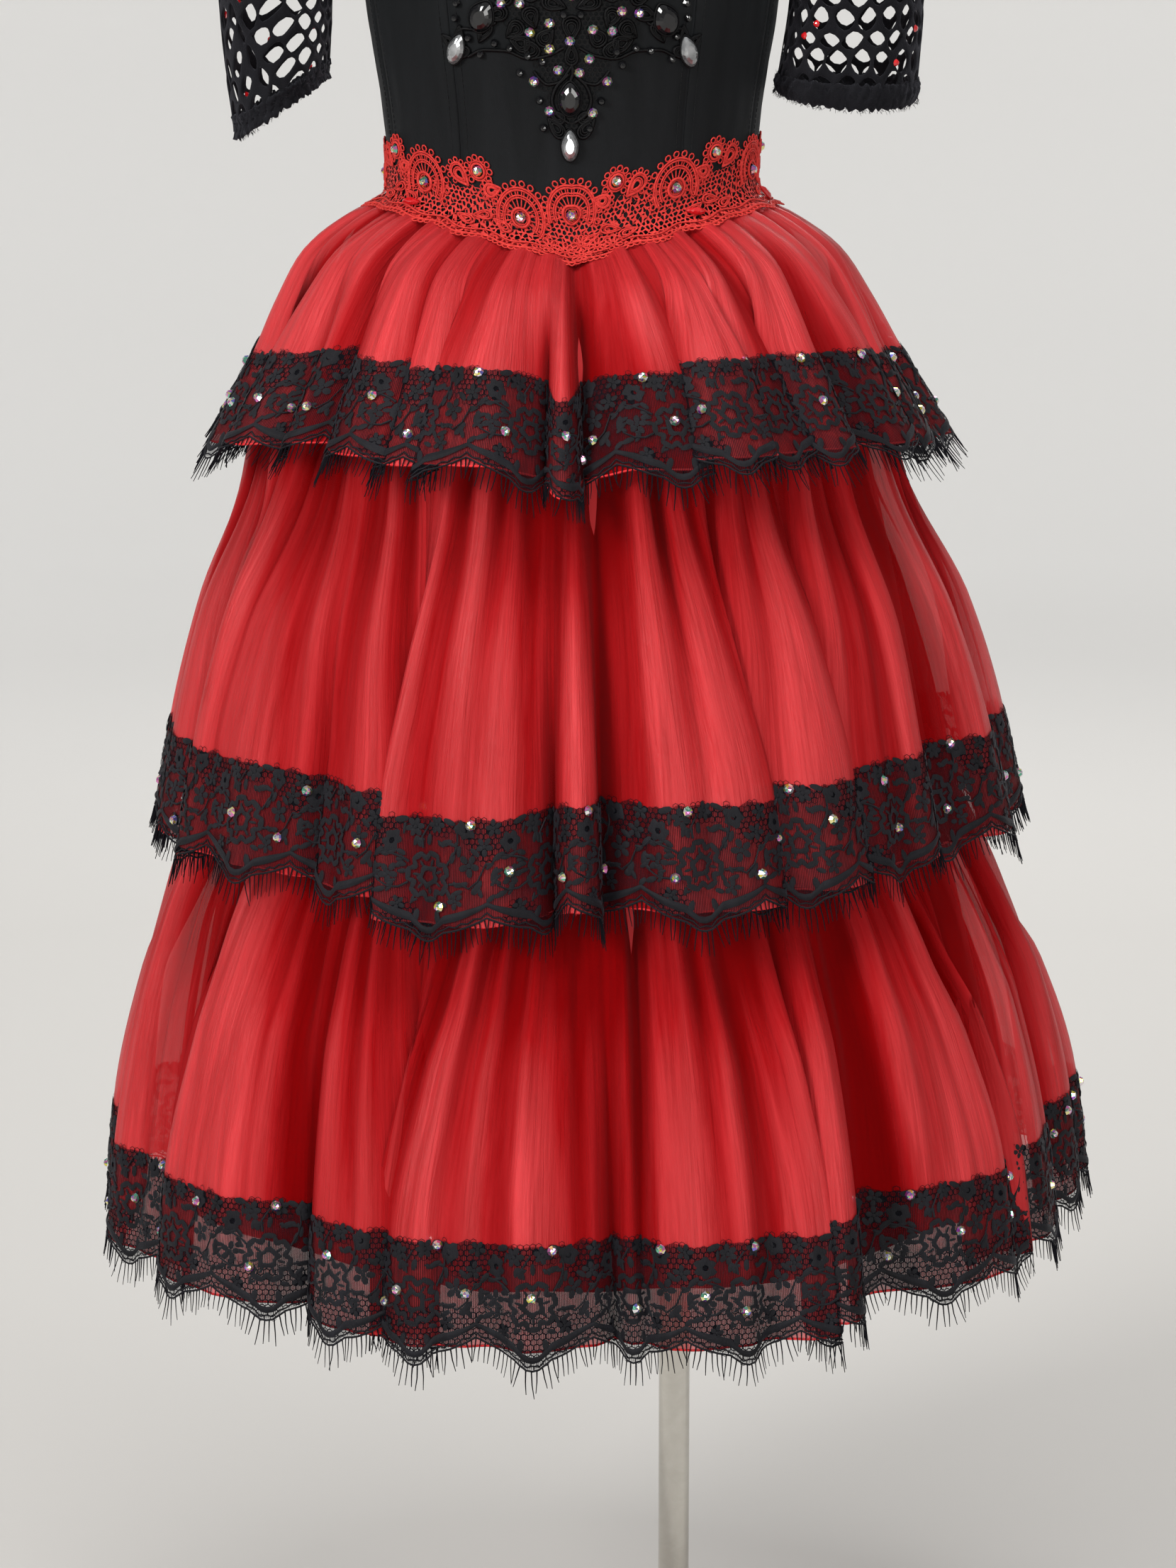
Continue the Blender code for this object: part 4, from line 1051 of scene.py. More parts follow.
@dataclass
class FoldLine:
    """Line that a tier's folds follow round its hem, where folds lap over their neighbours.

    Args:
        folds: The hanging folds, one after another round the hem.
        radius: Mean radius of the hem.
        columns: How many columns of cloth follow the line.
    """

    folds: Sequence[Fold]
    radius: float
    columns: int
    knots: tuple[float, ...] = (0.0, 0.06, 0.16, 0.3, 0.5, 0.7, 0.84, 0.94, 1.0)
    plain_end: Pair = (1.0, 0.55)
    under_end: Pair = (1.0, 1.3)
    top_end: Pair = (0.15, 0.8)
    samples: int = 8000
    rounding: float = 0.0026
    lap_of_width: float = 0.30
    lap_of_depth: float = 0.62
    drop_reach: float = 0.3

    def __post_init__(self) -> None:
        """Follow the folds, each from under or over its neighbour to the next."""
        folds = [fold._replace(depth=fold.depth * DEPTH_GAIN) for fold in self.folds]
        count = len(folds)
        widths = np.radians([fold.width for fold in folds])
        edges = math.radians(FIRST_FOLD) + running(widths)
        laps = []
        sides = []
        for k in range(count):
            left, right = folds[k - 1], folds[k]
            pull = max(0.0, left.lean) * left.depth - max(0.0, -right.lean) * right.depth
            sides.append((pull > 0.0) - (pull < 0.0))
            narrow = min(widths[k - 1], widths[k]) * self.radius
            deep = max(left.depth, right.depth)
            lap = min(self.lap_of_width * narrow, self.lap_of_depth * deep)
            laps.append(lap / self.radius * abs(sides[k]))
        ends = (self.plain_end, self.under_end, self.top_end)
        knots = np.array(self.knots)
        line = []
        marks = []
        for k, fold in enumerate(folds):
            after = (k + 1) % count
            start = edges[k] - laps[k]
            span = edges[k + 1] + laps[after] - start
            first, last = ends[sides[k]], ends[-sides[after]]
            shares = knots
            if fold.lean:
                shares = knots + fold.lean * 0.5 * np.sin(math.pi * knots)
            inset = (first[0] * self.end_shape(knots, first[1])
                     + last[0] * self.end_shape(1.0 - knots, last[1]))
            ahead = folds[after]
            behind = folds[k - 1]
            from_left = fold.drop if sides[k] < 0 else (fold.drop + behind.drop) / 2.0
            to_right = fold.drop if sides[after] > 0 else (fold.drop + ahead.drop) / 2.0
            drop = fold.drop + ((from_left - fold.drop) * np.clip(1.0 - knots / self.drop_reach, 0.0, 1.0)
                                + (to_right - fold.drop)
                                * np.clip(1.0 - (1.0 - knots) / self.drop_reach, 0.0, 1.0))
            leaving = last[0] * fold.depth
            entering = ends[sides[after]][0] * ahead.depth
            line.extend(zip(start + span * shares, fold.depth * inset, drop))
            line.append((edges[k + 1], (leaving + entering) / 2.0, (fold.drop + ahead.drop) / 2.0))
            marks.append(len(line) - 1)
        self.resample(np.array(line), np.array(marks), edges)

    @staticmethod
    def end_shape(share: Array, power: float) -> Array:
        """Inset that fades from one end of a fold towards its crest."""
        return 1.0 - np.sin(math.pi * np.minimum(share, 0.5)) ** power

    def resample(self, line: Array, marks: Array, edges: Array) -> None:
        """Round the line off and space the columns evenly along it."""
        closed = np.vstack([line[-1] - (2.0 * math.pi, 0.0, 0.0), line])
        arc = running(step_lengths(np.column_stack([closed[:, 0] * self.radius, -closed[:, 1]])))
        total = arc[-1]
        even = np.linspace(0.0, total, self.samples, endpoint=False)
        trend = even / total * 2.0 * math.pi
        waves = np.fft.rfftfreq(self.samples, total / self.samples)
        blur = np.exp(-2.0 * (math.pi * waves * self.rounding) ** 2)

        def soften(values: Array) -> Array:
            """Blur values along the closed edge."""
            return np.fft.irfft(np.fft.rfft(values) * blur, self.samples)

        angle = trend + soften(np.interp(even, arc, closed[:, 0]) - trend)
        inset = soften(np.interp(even, arc, closed[:, 1]))
        drop = soften(np.interp(even, arc, closed[:, 2]))
        base = np.interp(even, np.concatenate([[0.0], arc[marks + 1]]), edges)
        steps = step_lengths(np.column_stack([angle * self.radius, -inset]))
        length = running(np.append(steps, steps[-1]))
        pick = np.linspace(0.0, length[-1], self.columns, endpoint=False)
        self.angle, self.inset, self.drop, self.base = (
            np.interp(pick, length, np.append(values, values[0] + turn))
            for values, turn in ((angle, 2.0 * math.pi), (inset, 0.0), (drop, 0.0), (base, 2.0 * math.pi)))

    def deepest(self, angles: Array, reach: float = 5.5, blur: float = 2.0) -> Array:
        """Inset that clears this line from inside at some angles."""
        grid = np.arange(-180.0, 180.0, 0.5)
        place = wrap(np.degrees(self.angle), 360.0)
        away = np.abs(wrap(place[None, :] - grid[:, None], 360.0))
        top = np.where(away < reach, self.inset[None, :], 0.0).max(axis=1)
        offsets = np.arange(-12, 13)
        weights = np.exp(-0.5 * (offsets * 0.5 / blur) ** 2)
        soft = sum(np.roll(top, k) * weight for k, weight in zip(offsets, weights)) / weights.sum()
        return np.interp(wrap(np.degrees(angles), 360.0), grid, soft, period=360.0)


class Ripples(NamedTuple):
    """Small waves of gathered cloth: how long, how high at the seam and at the hem, and how fast they fade."""

    length: float
    height: float
    hem_height: float
    fade: float


@dataclass(frozen=True)
class TierCut:
    """How one tier is cut, gathered and hung."""

    name: str
    rows: tuple[SkirtRow, ...]
    folds: tuple[Fold, ...]
    columns: int
    bands: int
    flat: Pair
    rests_on: str
    ripples: tuple[Ripples, ...]
    seed: int
    on_bodice: bool = False


SEAM_ROW = SkirtRow(1.0977, 0.1242, 0.0920, 0, 0.0)
UPPER_RIPPLES = (Ripples(0.0095, 0.0026, 0.0003, 0.045), Ripples(0.020, 0.0062, 0.0022, 0.080),
                 Ripples(0.040, 0.0070, 0.0060, 0.300))
LOWER_RIPPLES = (Ripples(0.011, 0.0026, 0.0006, 0.080), Ripples(0.023, 0.0050, 0.0030, 0.160),
                 Ripples(0.046, 0.0040, 0.0060, 0.300))
TIERS = (
    TierCut("tier_1", (SEAM_ROW,) + TIER_1_ROWS, TIER_1_FOLDS, 760, 24, (1.95, 0.20), "waist_band",
            UPPER_RIPPLES, 11, True),
    TierCut("tier_2", TIER_2_ROWS, TIER_2_FOLDS, 860, 30, (2.35, 0.34), "lining", LOWER_RIPPLES, 12),
    TierCut("tier_3", TIER_3_ROWS, TIER_3_FOLDS, 920, 30, (2.6, 0.34), "lining", LOWER_RIPPLES, 13),
)


@dataclass
class Tier(Assembly):
    """One gathered organza tier, hanging in laid-over folds.

    Args:
        cut: How it is cut.
        above: The tier over it, whose folds it clears.
    """

    cut: TierCut
    above: "Tier | None"
    seam_blend: float = 0.012
    hem_radius: float = 0.0008

    def __post_init__(self) -> None:
        """Lay the folds, then hang the cloth."""
        hem = self.cut.rows[-1]
        self.folds = FoldLine(self.cut.folds, (hem.half_width + hem.half_depth) / 2.0, self.cut.columns)
        self.surface = ClothSurface(self.hang()[::-1])

    def gather(self, down: Array) -> tuple[Array, Array]:
        """Work out the small gathers.

        Args:
            down: Distance from the seam of each row.

        Returns:
            How far the gathers stand back, and the wave sum that sets the painted shade in their hollows.
        """
        seam = self.cut.rows[0]
        radius = (seam.half_width + seam.half_depth) / 2.0
        around = self.folds.base * radius
        total = 2.0 * math.pi * radius
        rng = np.random.default_rng(self.cut.seed)
        mix = np.clip(down / down[-1], 0.0, 1.0)[:, None]
        gathered = np.zeros((len(down), len(around)))
        shade = np.zeros_like(gathered)
        for waves in self.cut.ripples:
            fade = np.exp(-down / waves.fade)[:, None]
            high = waves.hem_height + (waves.height - waves.hem_height) * fade
            first = ripple(rng, total, waves.length, around)
            second = ripple(rng, total, waves.length * 1.3, around)
            wave = first[None, :] * np.cos(mix * 1.2) + second[None, :] * np.sin(mix * 1.2)
            gathered = gathered + high * (np.exp(GATHER_SWELL * wave) / GATHER_SCALE - GATHER_LEVEL)
            # The painted shade of the gathers follows the same waves.
            shade = shade + high * wave
        return gathered, shade

    def hang(self) -> Array:
        """Work out the grid of cloth from its seam down to its hem."""
        cut = self.cut
        down, (height, half_width, half_depth, nested, share) = read_rows(cut.rows, cut.bands)
        base = self.folds.base[None, :]
        angle = base + (self.folds.angle[None, :] - base) * share
        inset = share * self.folds.inset[None, :]
        if self.above is not None:
            inset = inset + nested * self.above.folds.deepest(angle)
        gathered, shade = self.gather(down)
        z = height - self.folds.drop[None, :] * share
        if cut.on_bodice:
            fall = (SIDE_SEAM_HEIGHT - height) / (SIDE_SEAM_HEIGHT - TIER_1_ROWS[-1].height)
            dip = SIDE_SEAM_HEIGHT - seam_height(np.degrees(angle))
            dip = dip * np.maximum(0.0, 1.0 - fall * WAIST_DIP_FADE)
            z = height - dip - self.folds.drop[None, :] * share
        # Painted shade: a mask that darkens the cloth where the folds lie back and in the gathers' hollows.
        self.valley_shade = np.clip(inset / VALLEY_SHADE_DEPTH + np.clip(shade / GATHER_SHADE_DEPTH, -0.15, 0.6), 0.0, 1.0)[::-1]
        inset = inset + gathered
        grid = skirt_point(angle, height, half_width - inset, half_depth - inset, z)
        if cut.on_bodice:
            seam = seam_height(np.degrees(angle)) - 0.0003
            edge = body_point(angle, seam, np.full(angle.shape, FORM_CLEARANCE + BODICE_WALL))
            blend = np.clip(down / self.seam_blend, 0.0, 1.0)[:, None, None]
            blend = blend * blend * (3.0 - 2.0 * blend)
            grid = edge * (1.0 - blend) + grid * blend
        return grid

    def build(self) -> None:
        """Make the cloth and its rolled hem."""
        cut = self.cut
        LOG.info("%s: hem %.3f m, slant %.3f m", cut.name, self.surface.width, self.surface.height)
        mesh = self.surface.cloth(cut.name)
        # The painted shade mask goes onto the cloth as a point attribute.
        valley_shade = np.concatenate([self.valley_shade, self.valley_shade[:, :1]], axis=1)
        mesh.attributes.new("valley_shade", "FLOAT", "POINT").data.foreach_set("value", valley_shade.ravel())
        cloth = self.wardrobe.piece(cut.name, merged(self.surface.lay(mesh)), "organza_cloth")
        hem = Threads(self.hem_radius)
        hem.loop([(along, 0.0002, 0.0) for along in self.surface.along[:-1:2]])
        self.sew(f"{cut.name}_rolled_hem", hem.mesh("hem"), "hem_thread")


@dataclass
class Lining(Assembly):
    """Plain lining that carries the lower tiers."""

    columns: int = 150
    bands: int = 40
    top_offset: float = 0.002
    wave: float = 0.0022
    sag: float = 0.006
    flat: Pair = (1.85, 0.72)
    cut_area: float = 1.0
    hem_turning: float = 0.012

    def __post_init__(self) -> None:
        """Hang the lining, in a few soft waves that grow towards its hem."""
        down, (height, half_width, half_depth, _, _) = read_rows(LINING_ROWS, self.bands)
        share_down = (down / down[-1])[:, None]
        angle = np.linspace(-math.pi, math.pi, self.columns, endpoint=False)[None, :]
        rng = np.random.default_rng(5)
        waves = ripple(rng, 2.0 * math.pi, 0.32, angle[0], 5)[None, :]
        sags = ripple(rng, 2.0 * math.pi, 0.8, angle[0], 4)[None, :]
        inset = -self.wave * waves * share_down ** 1.5
        share = np.maximum(0.0, (height - 1.0) / (SIDE_SEAM_HEIGHT - 1.0))
        z = (height - (SIDE_SEAM_HEIGHT - seam_height(np.degrees(angle))) * share
             - self.sag * sags * share_down ** 6)
        grid = skirt_point(angle, height, half_width - inset, half_depth - inset, z)
        seam = seam_height(np.degrees(angle[0])) - self.top_offset
        top = body_point(angle[0], seam, np.full(self.columns, FORM_CLEARANCE))[None]
        self.surface = ClothSurface(np.concatenate([top, grid])[::-1])

    def build(self) -> None:
        """Make the lining and its stitched hem."""
        mesh = merged(self.surface.lay(self.surface.cloth("lining")))
        cloth = self.wardrobe.piece("lining", mesh, "lining_satin")
        hem = Threads(0.0006)
        hem.loop([(along, 0.0002, 0.0) for along in self.surface.along[:-1]])
        hem.loop([(along, self.hem_turning, 0.0003) for along in self.surface.along[:-1]], 0.4)
        self.sew("lining_hem", hem.mesh("lining_hem"), "hem_thread")


class Gems:
    """Cut stones, each with its own facets, joined in one mesh."""

    def __init__(self) -> None:
        """Start without a stone."""
        self.shape = bmesh.new()

    def round_cut(self, place: Matrix, radius: float, sides: int = 8) -> None:
        """Add a round stone: a girdle, slanted facets and a flat table."""
        depth = radius * 0.62
        seat = place @ Matrix.Translation((0.0, 0.0, depth / 2.0))
        made = bmesh.ops.create_cone(self.shape, cap_ends=True, segments=sides, radius1=radius,
                                     radius2=radius * 0.60, depth=depth, matrix=seat)
        out = seat.to_3x3().col[2].normalized()
        caps = {face for point in made["verts"] for face in point.link_faces if len(face.verts) == sides}
        table = max(caps, key=lambda face: face.calc_center_median().dot(out))
        bmesh.ops.poke(self.shape, faces=[table], offset=radius * 0.16)

    def pear_cut(self, place: Matrix, length: float, width: float, height: float, sides: int = 20) -> None:
        """Add a pear-cut stone, its point towards +Y, in a table and two rings of facets."""
        made = bmesh.ops.create_circle(self.shape, cap_ends=True, segments=sides, radius=1.0)
        face = made["verts"][0].link_faces[0]
        bmesh.ops.recalc_face_normals(self.shape, faces=[face])
        rings = [(1.0, 0.0, list(face.verts))]
        for scale, rise in ((1.0, 0.30), (0.78, 0.74), (0.50, 1.0)):
            bmesh.ops.inset_individual(self.shape, faces=[face], thickness=0.01)
            rings.append((scale, rise, list(face.verts)))
        for scale, rise, points in rings:
            for point in points:
                across, along = pear_place(math.atan2(point.co.y, point.co.x), length, width)
                point.co = (across * scale, along * scale, rise * height)
        every = [point for _, _, points in rings for point in points]
        bmesh.ops.transform(self.shape, matrix=place, verts=every)

    def mesh(self, name: str) -> Mesh:
        """Close the stones' mesh."""
        return finish_mesh(self.shape, name)


class Embroidery:
    """Flat petals, rings and flowers with raised middles."""

    def __init__(self, segments: int = 8) -> None:
        """Start without a stitch."""
        self.shape = bmesh.new()
        self.segments = segments

    def petal(self, x: float, y: float, length: float, width: float, degrees: float, rise: float,
              base: float) -> None:
        """Add one petal, centred at (x, y), its length turned by degrees from +x."""
        place = (Matrix.Translation((x, y, base)) @ Matrix.Rotation(math.radians(degrees), 4, "Z")
                 @ Matrix.Diagonal((length / 2.0, width / 2.0, 1.0, 1.0)))
        made = bmesh.ops.create_circle(self.shape, cap_ends=True, cap_tris=True, segments=self.segments,
                                       radius=1.0, matrix=place)
        for point in made["verts"]:
            if len(point.link_edges) > 3:
                point.co.z += rise

    def ring(self, x: float, y: float, radius: float, inner: float, lobes: int, turn: float, base: float,
             squash: float = 1.0) -> None:
        """Add a lobed ring of close stitches round an open middle."""
        made = bmesh.ops.create_circle(self.shape, cap_ends=True, segments=lobes * 3, radius=1.0)
        face = made["verts"][0].link_faces[0]
        rings = [(radius, base, list(face.verts))]
        for reach, height in (((radius + inner) / 2.0, base + 0.0004), (inner, base + 0.0001)):
            bmesh.ops.inset_individual(self.shape, faces=[face], thickness=0.01)
            rings.append((reach, height, list(face.verts)))
        for reach, height, points in rings:
            for point in points:
                angle = math.atan2(point.co.y, point.co.x)
                wavy = reach * (1.0 + 0.18 * (reach / radius) * math.cos(lobes * angle)
                                + 0.14 * math.sin(3.0 * angle + 9.0 * turn) * math.cos(5.0 * angle + turn))
                point.co = (*swing((x, y), wavy * math.cos(angle), wavy * math.sin(angle) * squash, turn), height)
        bmesh.ops.delete(self.shape, geom=[face], context="FACES")

    def flower(self, x: float, y: float, radius: float, petals: int, turn: float, base: float) -> None:
        """Add a flower of round petals about a raised eye."""
        for k in range(petals):
            angle = turn + 360.0 * k / petals
            reach = radius * (0.66 + 0.08 * math.sin(3.0 * angle))
            self.petal(x + reach * math.cos(math.radians(angle)), y + reach * math.sin(math.radians(angle)),
                       radius * 0.94, radius * 0.66, angle, 0.0003, base)
        self.petal(x, y, radius * 0.50, radius * 0.50, 0.0, 0.0003, base + 0.0002)

    def rose(self, x: float, y: float, radius: float, turn: float, base: float) -> None:
        """Add a double rose: seven scrolled petals about a smaller lobed ring, with veins between them."""
        for k in range(7):
            angle = turn + 2.0 * math.pi * k / 7.0
            for lean, reach, length, width in ((0.0, 0.92, 0.62, 0.25), (0.36, 0.76, 0.40, 0.22),
                                               (-0.36, 0.76, 0.40, 0.22), (0.0, 0.56, 0.34, 0.12)):
                heading = angle + lean
                way = math.degrees(heading) + (0.0 if width < 0.2 else 90.0 + math.degrees(lean) * 2.6)
                self.petal(x + radius * reach * math.cos(heading), y + radius * reach * math.sin(heading),
                           radius * length, radius * width, way, 0.0004, base)
        self.ring(x, y, radius * 0.46, radius * 0.24, 5, turn + 0.5, base + 0.0002)

    def mesh(self, name: str) -> Mesh:
        """Close the embroidery's mesh, its faces turned up."""
        bmesh.ops.recalc_face_normals(self.shape, faces=self.shape.faces)
        for face in self.shape.faces:
            if face.normal.z < 0.0:
                face.normal_flip()
        return finish_mesh(self.shape, name)


def everywhere(x: float, y: float) -> bool:
    """Keep every mesh of a net."""
    return True


def nowhere(x: float, y: float) -> bool:
    """Close no mesh of a net."""
    return False


def hex_net(name: str, width: float, low: float, high: float, cell: float, cord: float,
            keeps: Callable[[float, float], bool] = everywhere,
            fills: Callable[[float, float], bool] = nowhere,
            stretch: float = 1.0, peak: float = 1.0 / 6.0) -> Mesh:
    """Flat net of six-sided meshes.

    Args:
        name: Name of the mesh.
        width: Length along the cloth, which a whole number of meshes fills.
        low: Lower side of the net.
        high: Upper side of the net.
        cell: Usual width of one mesh.
        cord: Half the width of the thread between two meshes.
        keeps: Whether the net has a mesh at a place.
        fills: Whether the mesh there is closed.
        stretch: How far the meshes are drawn out upwards.
        peak: How far their upper and lower points reach, as a share of a row.

    Returns:
        The flat net.
    """
    across = round(width / cell)
    half = width / across / 2.0
    pitch = half * math.sqrt(3.0) * stretch
    rows = max(2, round((high - low) / pitch))
    shape = bmesh.new()
    bmesh.ops.create_grid(shape, x_segments=2 * across, y_segments=rows, size=0.5)
    places = {point: (round((point.co.x + 0.5) * 2 * across), round((point.co.y + 0.5) * rows))
              for point in shape.verts}
    split = []
    for edge in shape.edges:
        (i, j), (other, after) = (places[point] for point in edge.verts)
        if i == other and 0 < i < 2 * across and (i + min(j, after)) % 2:
            split.append(edge)
    for point, (i, j) in places.items():
        zigzag = pitch * peak * (1.0 if (i + j) % 2 == 0 else -1.0)
        point.co = (i * half, low + j * pitch + zigzag, 0.0)
    bmesh.ops.dissolve_edges(shape, edges=split, use_verts=False)
    drop = []
    opened = []
    for face in shape.faces:
        middle = face.calc_center_median()
        if not keeps(middle.x, middle.y):
            drop.append(face)
        elif not fills(middle.x, middle.y):
            opened.append(face)
    bmesh.ops.inset_individual(shape, faces=opened, thickness=cord, use_even_offset=True)
    bmesh.ops.delete(shape, geom=drop + opened, context="FACES")
    return finish_mesh(shape, name)


class RingFlower(NamedTuple):
    """Small ring flower of the lace: along and up from its lobe's middle, radius and opening."""

    along: float
    up: float
    radius: float
    opening: float
    lobes: int


@dataclass
class LaceTrim(Assembly):
    """Scalloped floral net lace with a corded eyelash edge, applied to a tier.

    Args:
        number: Which tier, from 1.
        surface: Surface of the tier that carries it.
        camera: The photograph's camera, for stones that are placed by what it shows.
    """

    number: int
    surface: ClothSurface
    camera: PhotoCamera
    scallop: float = 0.082
    lobe: float = -0.012
    scallop_shares: tuple[float, ...] = (0.0, 0.12, 0.28, 0.50, 0.75, 1.0)
    scallop_rises: tuple[float, ...] = (0.0, 0.06, 0.36, 0.50, 0.72, 1.0)
    scallop_depth: float = 0.018
    top_height: float = 0.067
    cell: float = 0.0039
    cord: float = 0.00032
    top_net: float = 0.0080
    patches: tuple[tuple[float, ...], ...] = ((-0.041, 0.0560, 0.017, 0.016), (0.0, 0.0640, 0.016, 0.010),
                                              (-0.020, 0.0050, 0.012, 0.010))
    sheer_up: Triple = (-0.02, -0.02, 0.026)
    lift: float = 0.0007
    cordonnet_up: float = 0.0078
    lash_apart: Pair = (0.0029, 0.0036)
    lash_length: Pair = (0.0115, 0.0155)
    lash_shares: Triple = (0.0, 0.5, 1.0)
    stone: float = 0.0035
    stone_clearance: float = 0.040
    rings: tuple[RingFlower, ...] = (
        RingFlower(-0.0270, 0.0520, 0.0070, 0.28, 6), RingFlower(0.0280, 0.0380, 0.0066, 0.20, 5),
        RingFlower(-0.0120, 0.0600, 0.0060, 0.16, 6), RingFlower(0.0060, 0.0625, 0.0054, 0.20, 6),
        RingFlower(0.0250, 0.0600, 0.0066, 0.28, 5), RingFlower(-0.0270, 0.0310, 0.0062, 0.20, 5),
        RingFlower(0.0395, 0.0500, 0.0054, 0.20, 5), RingFlower(-0.0210, 0.0110, 0.0046, 0.20, 5),
        RingFlower(0.0210, 0.0150, 0.0050, 0.20, 5), RingFlower(-0.0390, 0.0620, 0.0050, 0.18, 5),
    )
    leaves: tuple[tuple[float, ...], ...] = (
        (-0.0375, 0.0330, 0.010, 0.0044, 80.0), (-0.0350, 0.0440, 0.009, 0.0040, 40.0),
        (0.0130, 0.0520, 0.010, 0.0042, 20.0), (0.0350, 0.0250, 0.011, 0.0044, 60.0),
        (-0.0080, 0.0510, 0.008, 0.0040, 110.0), (0.0080, 0.0040, 0.009, 0.0044, 100.0),
        (-0.0080, 0.0040, 0.009, 0.0044, 75.0), (-0.0210, 0.0650, 0.010, 0.0044, 10.0),
        (0.0150, 0.0655, 0.009, 0.0040, -15.0), (0.0330, 0.0470, 0.008, 0.0038, -40.0),
        (-0.0330, 0.0200, 0.009, 0.0038, 25.0), (0.0180, 0.0430, 0.008, 0.0036, 70.0),
        (-0.0200, 0.0440, 0.007, 0.0036, -30.0), (0.0000, 0.0530, 0.008, 0.0036, 90.0),
    )
    sprays: tuple[tuple[Pair, ...], ...] = (
        ((-0.0150, 0.0380), (-0.0200, 0.0410), (-0.0260, 0.0430), (-0.0330, 0.0450), (-0.0390, 0.0400)),
        ((0.0140, 0.0380), (0.0190, 0.0460), (0.0210, 0.0530), (0.0200, 0.0610)),
        ((-0.0050, 0.0470), (-0.0060, 0.0540), (-0.0010, 0.0620)),
        ((0.0160, 0.0260), (0.0230, 0.0270), (0.0290, 0.0240), (0.0350, 0.0290), (0.0400, 0.0400)),
        ((-0.0150, 0.0250), (-0.0210, 0.0220), (-0.0280, 0.0220), (-0.0350, 0.0260)),
    )
    rose: Pair = (0.0295, 0.0160)
    petalled: float = 0.25
    spot_count: int = 38

    def __post_init__(self) -> None:
        """Fit a whole number of repeats round the hem."""
        self.periods = round(self.surface.width / self.scallop)
        self.period = self.surface.width / self.periods
        self.rng = np.random.default_rng(100 + self.number)

    def rise(self, x: Array) -> Array:
        """0 at a lobe's middle and 1 at a notch's point."""
        off = np.abs(wrap(np.asarray(x, float) / self.period, 1.0)) * 2.0
        return smooth_curve(self.scallop_shares, self.scallop_rises, off)

    def edge(self, x: Array) -> Array:
        """Height of the scalloped edge over the hem."""
        return self.lobe + self.scallop_depth * self.rise(x)

    def top(self, x: Array) -> Array:
        """Height of the ragged upper edge."""
        turns = 2.0 * math.pi * np.asarray(x) / self.period
        return (self.top_height + 0.0012 * np.cos(2.0 * turns + 0.8) + 0.0010 * np.sin(5.0 * turns)
                + 0.0008 * np.sin(17.0 * turns))

    def sew_part(self, part: str, flat: Mesh, finish: str) -> None:
        """Add one of the trim's own pieces."""
        self.sew(f"lace_{self.number}_{part}", flat, finish)

    def opened(self, x: float, y: float) -> bool:
        """Whether a place lies in one of the patches of open net."""
        return any((wrap(x - along, self.period) / wide) ** 2 + ((y - up) / high) ** 2 < 1.0
                   for along, up, wide, high in self.patches)

    def net(self) -> None:
        """Make the open net, and the closer shadow net over it."""
        steps = 2048
        repeat = np.linspace(0.0, self.period, steps)
        edges = self.edge(repeat)
        tops = self.top(repeat)
        sheer = self.sheer_up[self.number - 1]

        def keeps(x: float, y: float) -> bool:
            """Whether the lace has a mesh here."""
            k = int(x / self.period % 1.0 * (steps - 1))
            if not edges[k] + 0.0006 < y < tops[k]:
                return False
            return y > tops[k] - self.top_net or y < sheer or self.opened(x, y)

        def fills(x: float, y: float) -> bool:
            """Whether the middle of a flower closes the mesh."""
            off = wrap(x, self.period)
            return any((off - ring.along) ** 2 + (y - ring.up) ** 2 < (0.72 * ring.radius) ** 2
                       for ring in self.rings)

        mesh = hex_net("net", self.surface.width, self.lobe, self.top_height + 0.006, self.cell, self.cord,
                       keeps, fills)
        mesh.transform(Matrix.Translation((0.0, 0.0, self.lift)))
        self.sew_part("open_net", mesh, "lace_net")
        shadow = self.strip("shadow", lambda x: self.edge(x) + 0.001, lambda x: self.top(x) - 0.0005,
                            self.lift + 0.0002, 24, 6, 0.0)
        item = self.sew(f"lace_{self.number}", shadow, "lace_shadow_net")

    def strip(self, name: str, low: Callable[[Array], Array], high: Callable[[Array], Array], lift: float,
              steps: int = 20, rows: int = 3, raised: float = 0.0008) -> Mesh:
        """Flat strip between two lines, raised in its middle."""
        def place(across: Array, up: Array) -> Array:
            """Place on the strip."""
            x = across * self.surface.width
            y = low(x) + (high(x) - low(x)) * up
            return np.column_stack([x, y, lift + raised * np.sin(math.pi * up)])

        return flat_cloth(name, self.periods * steps, rows, place)

    def edging(self) -> None:
        """Make the thick wavy cordonnet, the corded double edge and the sprays."""
        def low(x: Array) -> Array:
            """Lower side of the cordonnet."""
            return self.edge(x) + self.cordonnet_up - 0.0030 + 0.0022 * self.rise(x)

        def high(x: Array) -> Array:
            """Upper side of the cordonnet."""
            swell = np.sin(math.pi * np.clip(self.rise(x), 0.0, 1.0)) ** 2
            return self.edge(x) + self.cordonnet_up + 0.0012 + 0.0018 * swell + 0.0010 * self.rise(x)

        self.sew_part("cordonnet", self.strip("cordonnet", low, high, self.lift + 0.0005), "lace_satin_stitch")
        cords = Threads(0.0007)
        x = np.linspace(0.0, self.surface.width, self.periods * 20, endpoint=False)
        lift = np.full(len(x), self.lift)
        cords.loop(np.column_stack([x, self.edge(x), lift]))
        wobble = 0.0008 * np.cos(2.0 * math.pi * x / self.period * 10.0)
        cords.loop(np.column_stack([x, self.edge(x) + 0.0026 + wobble, lift]), 0.8)
        for k in range(self.periods):
            for spray in self.sprays:
                line = [(k * self.period + along, up, self.lift + 0.0005) for along, up in spray]
                cords.add(line, np.linspace(1.2, 0.8, len(line)))
        self.sew_part("cords", cords.mesh("cords"), "lace_satin_stitch")

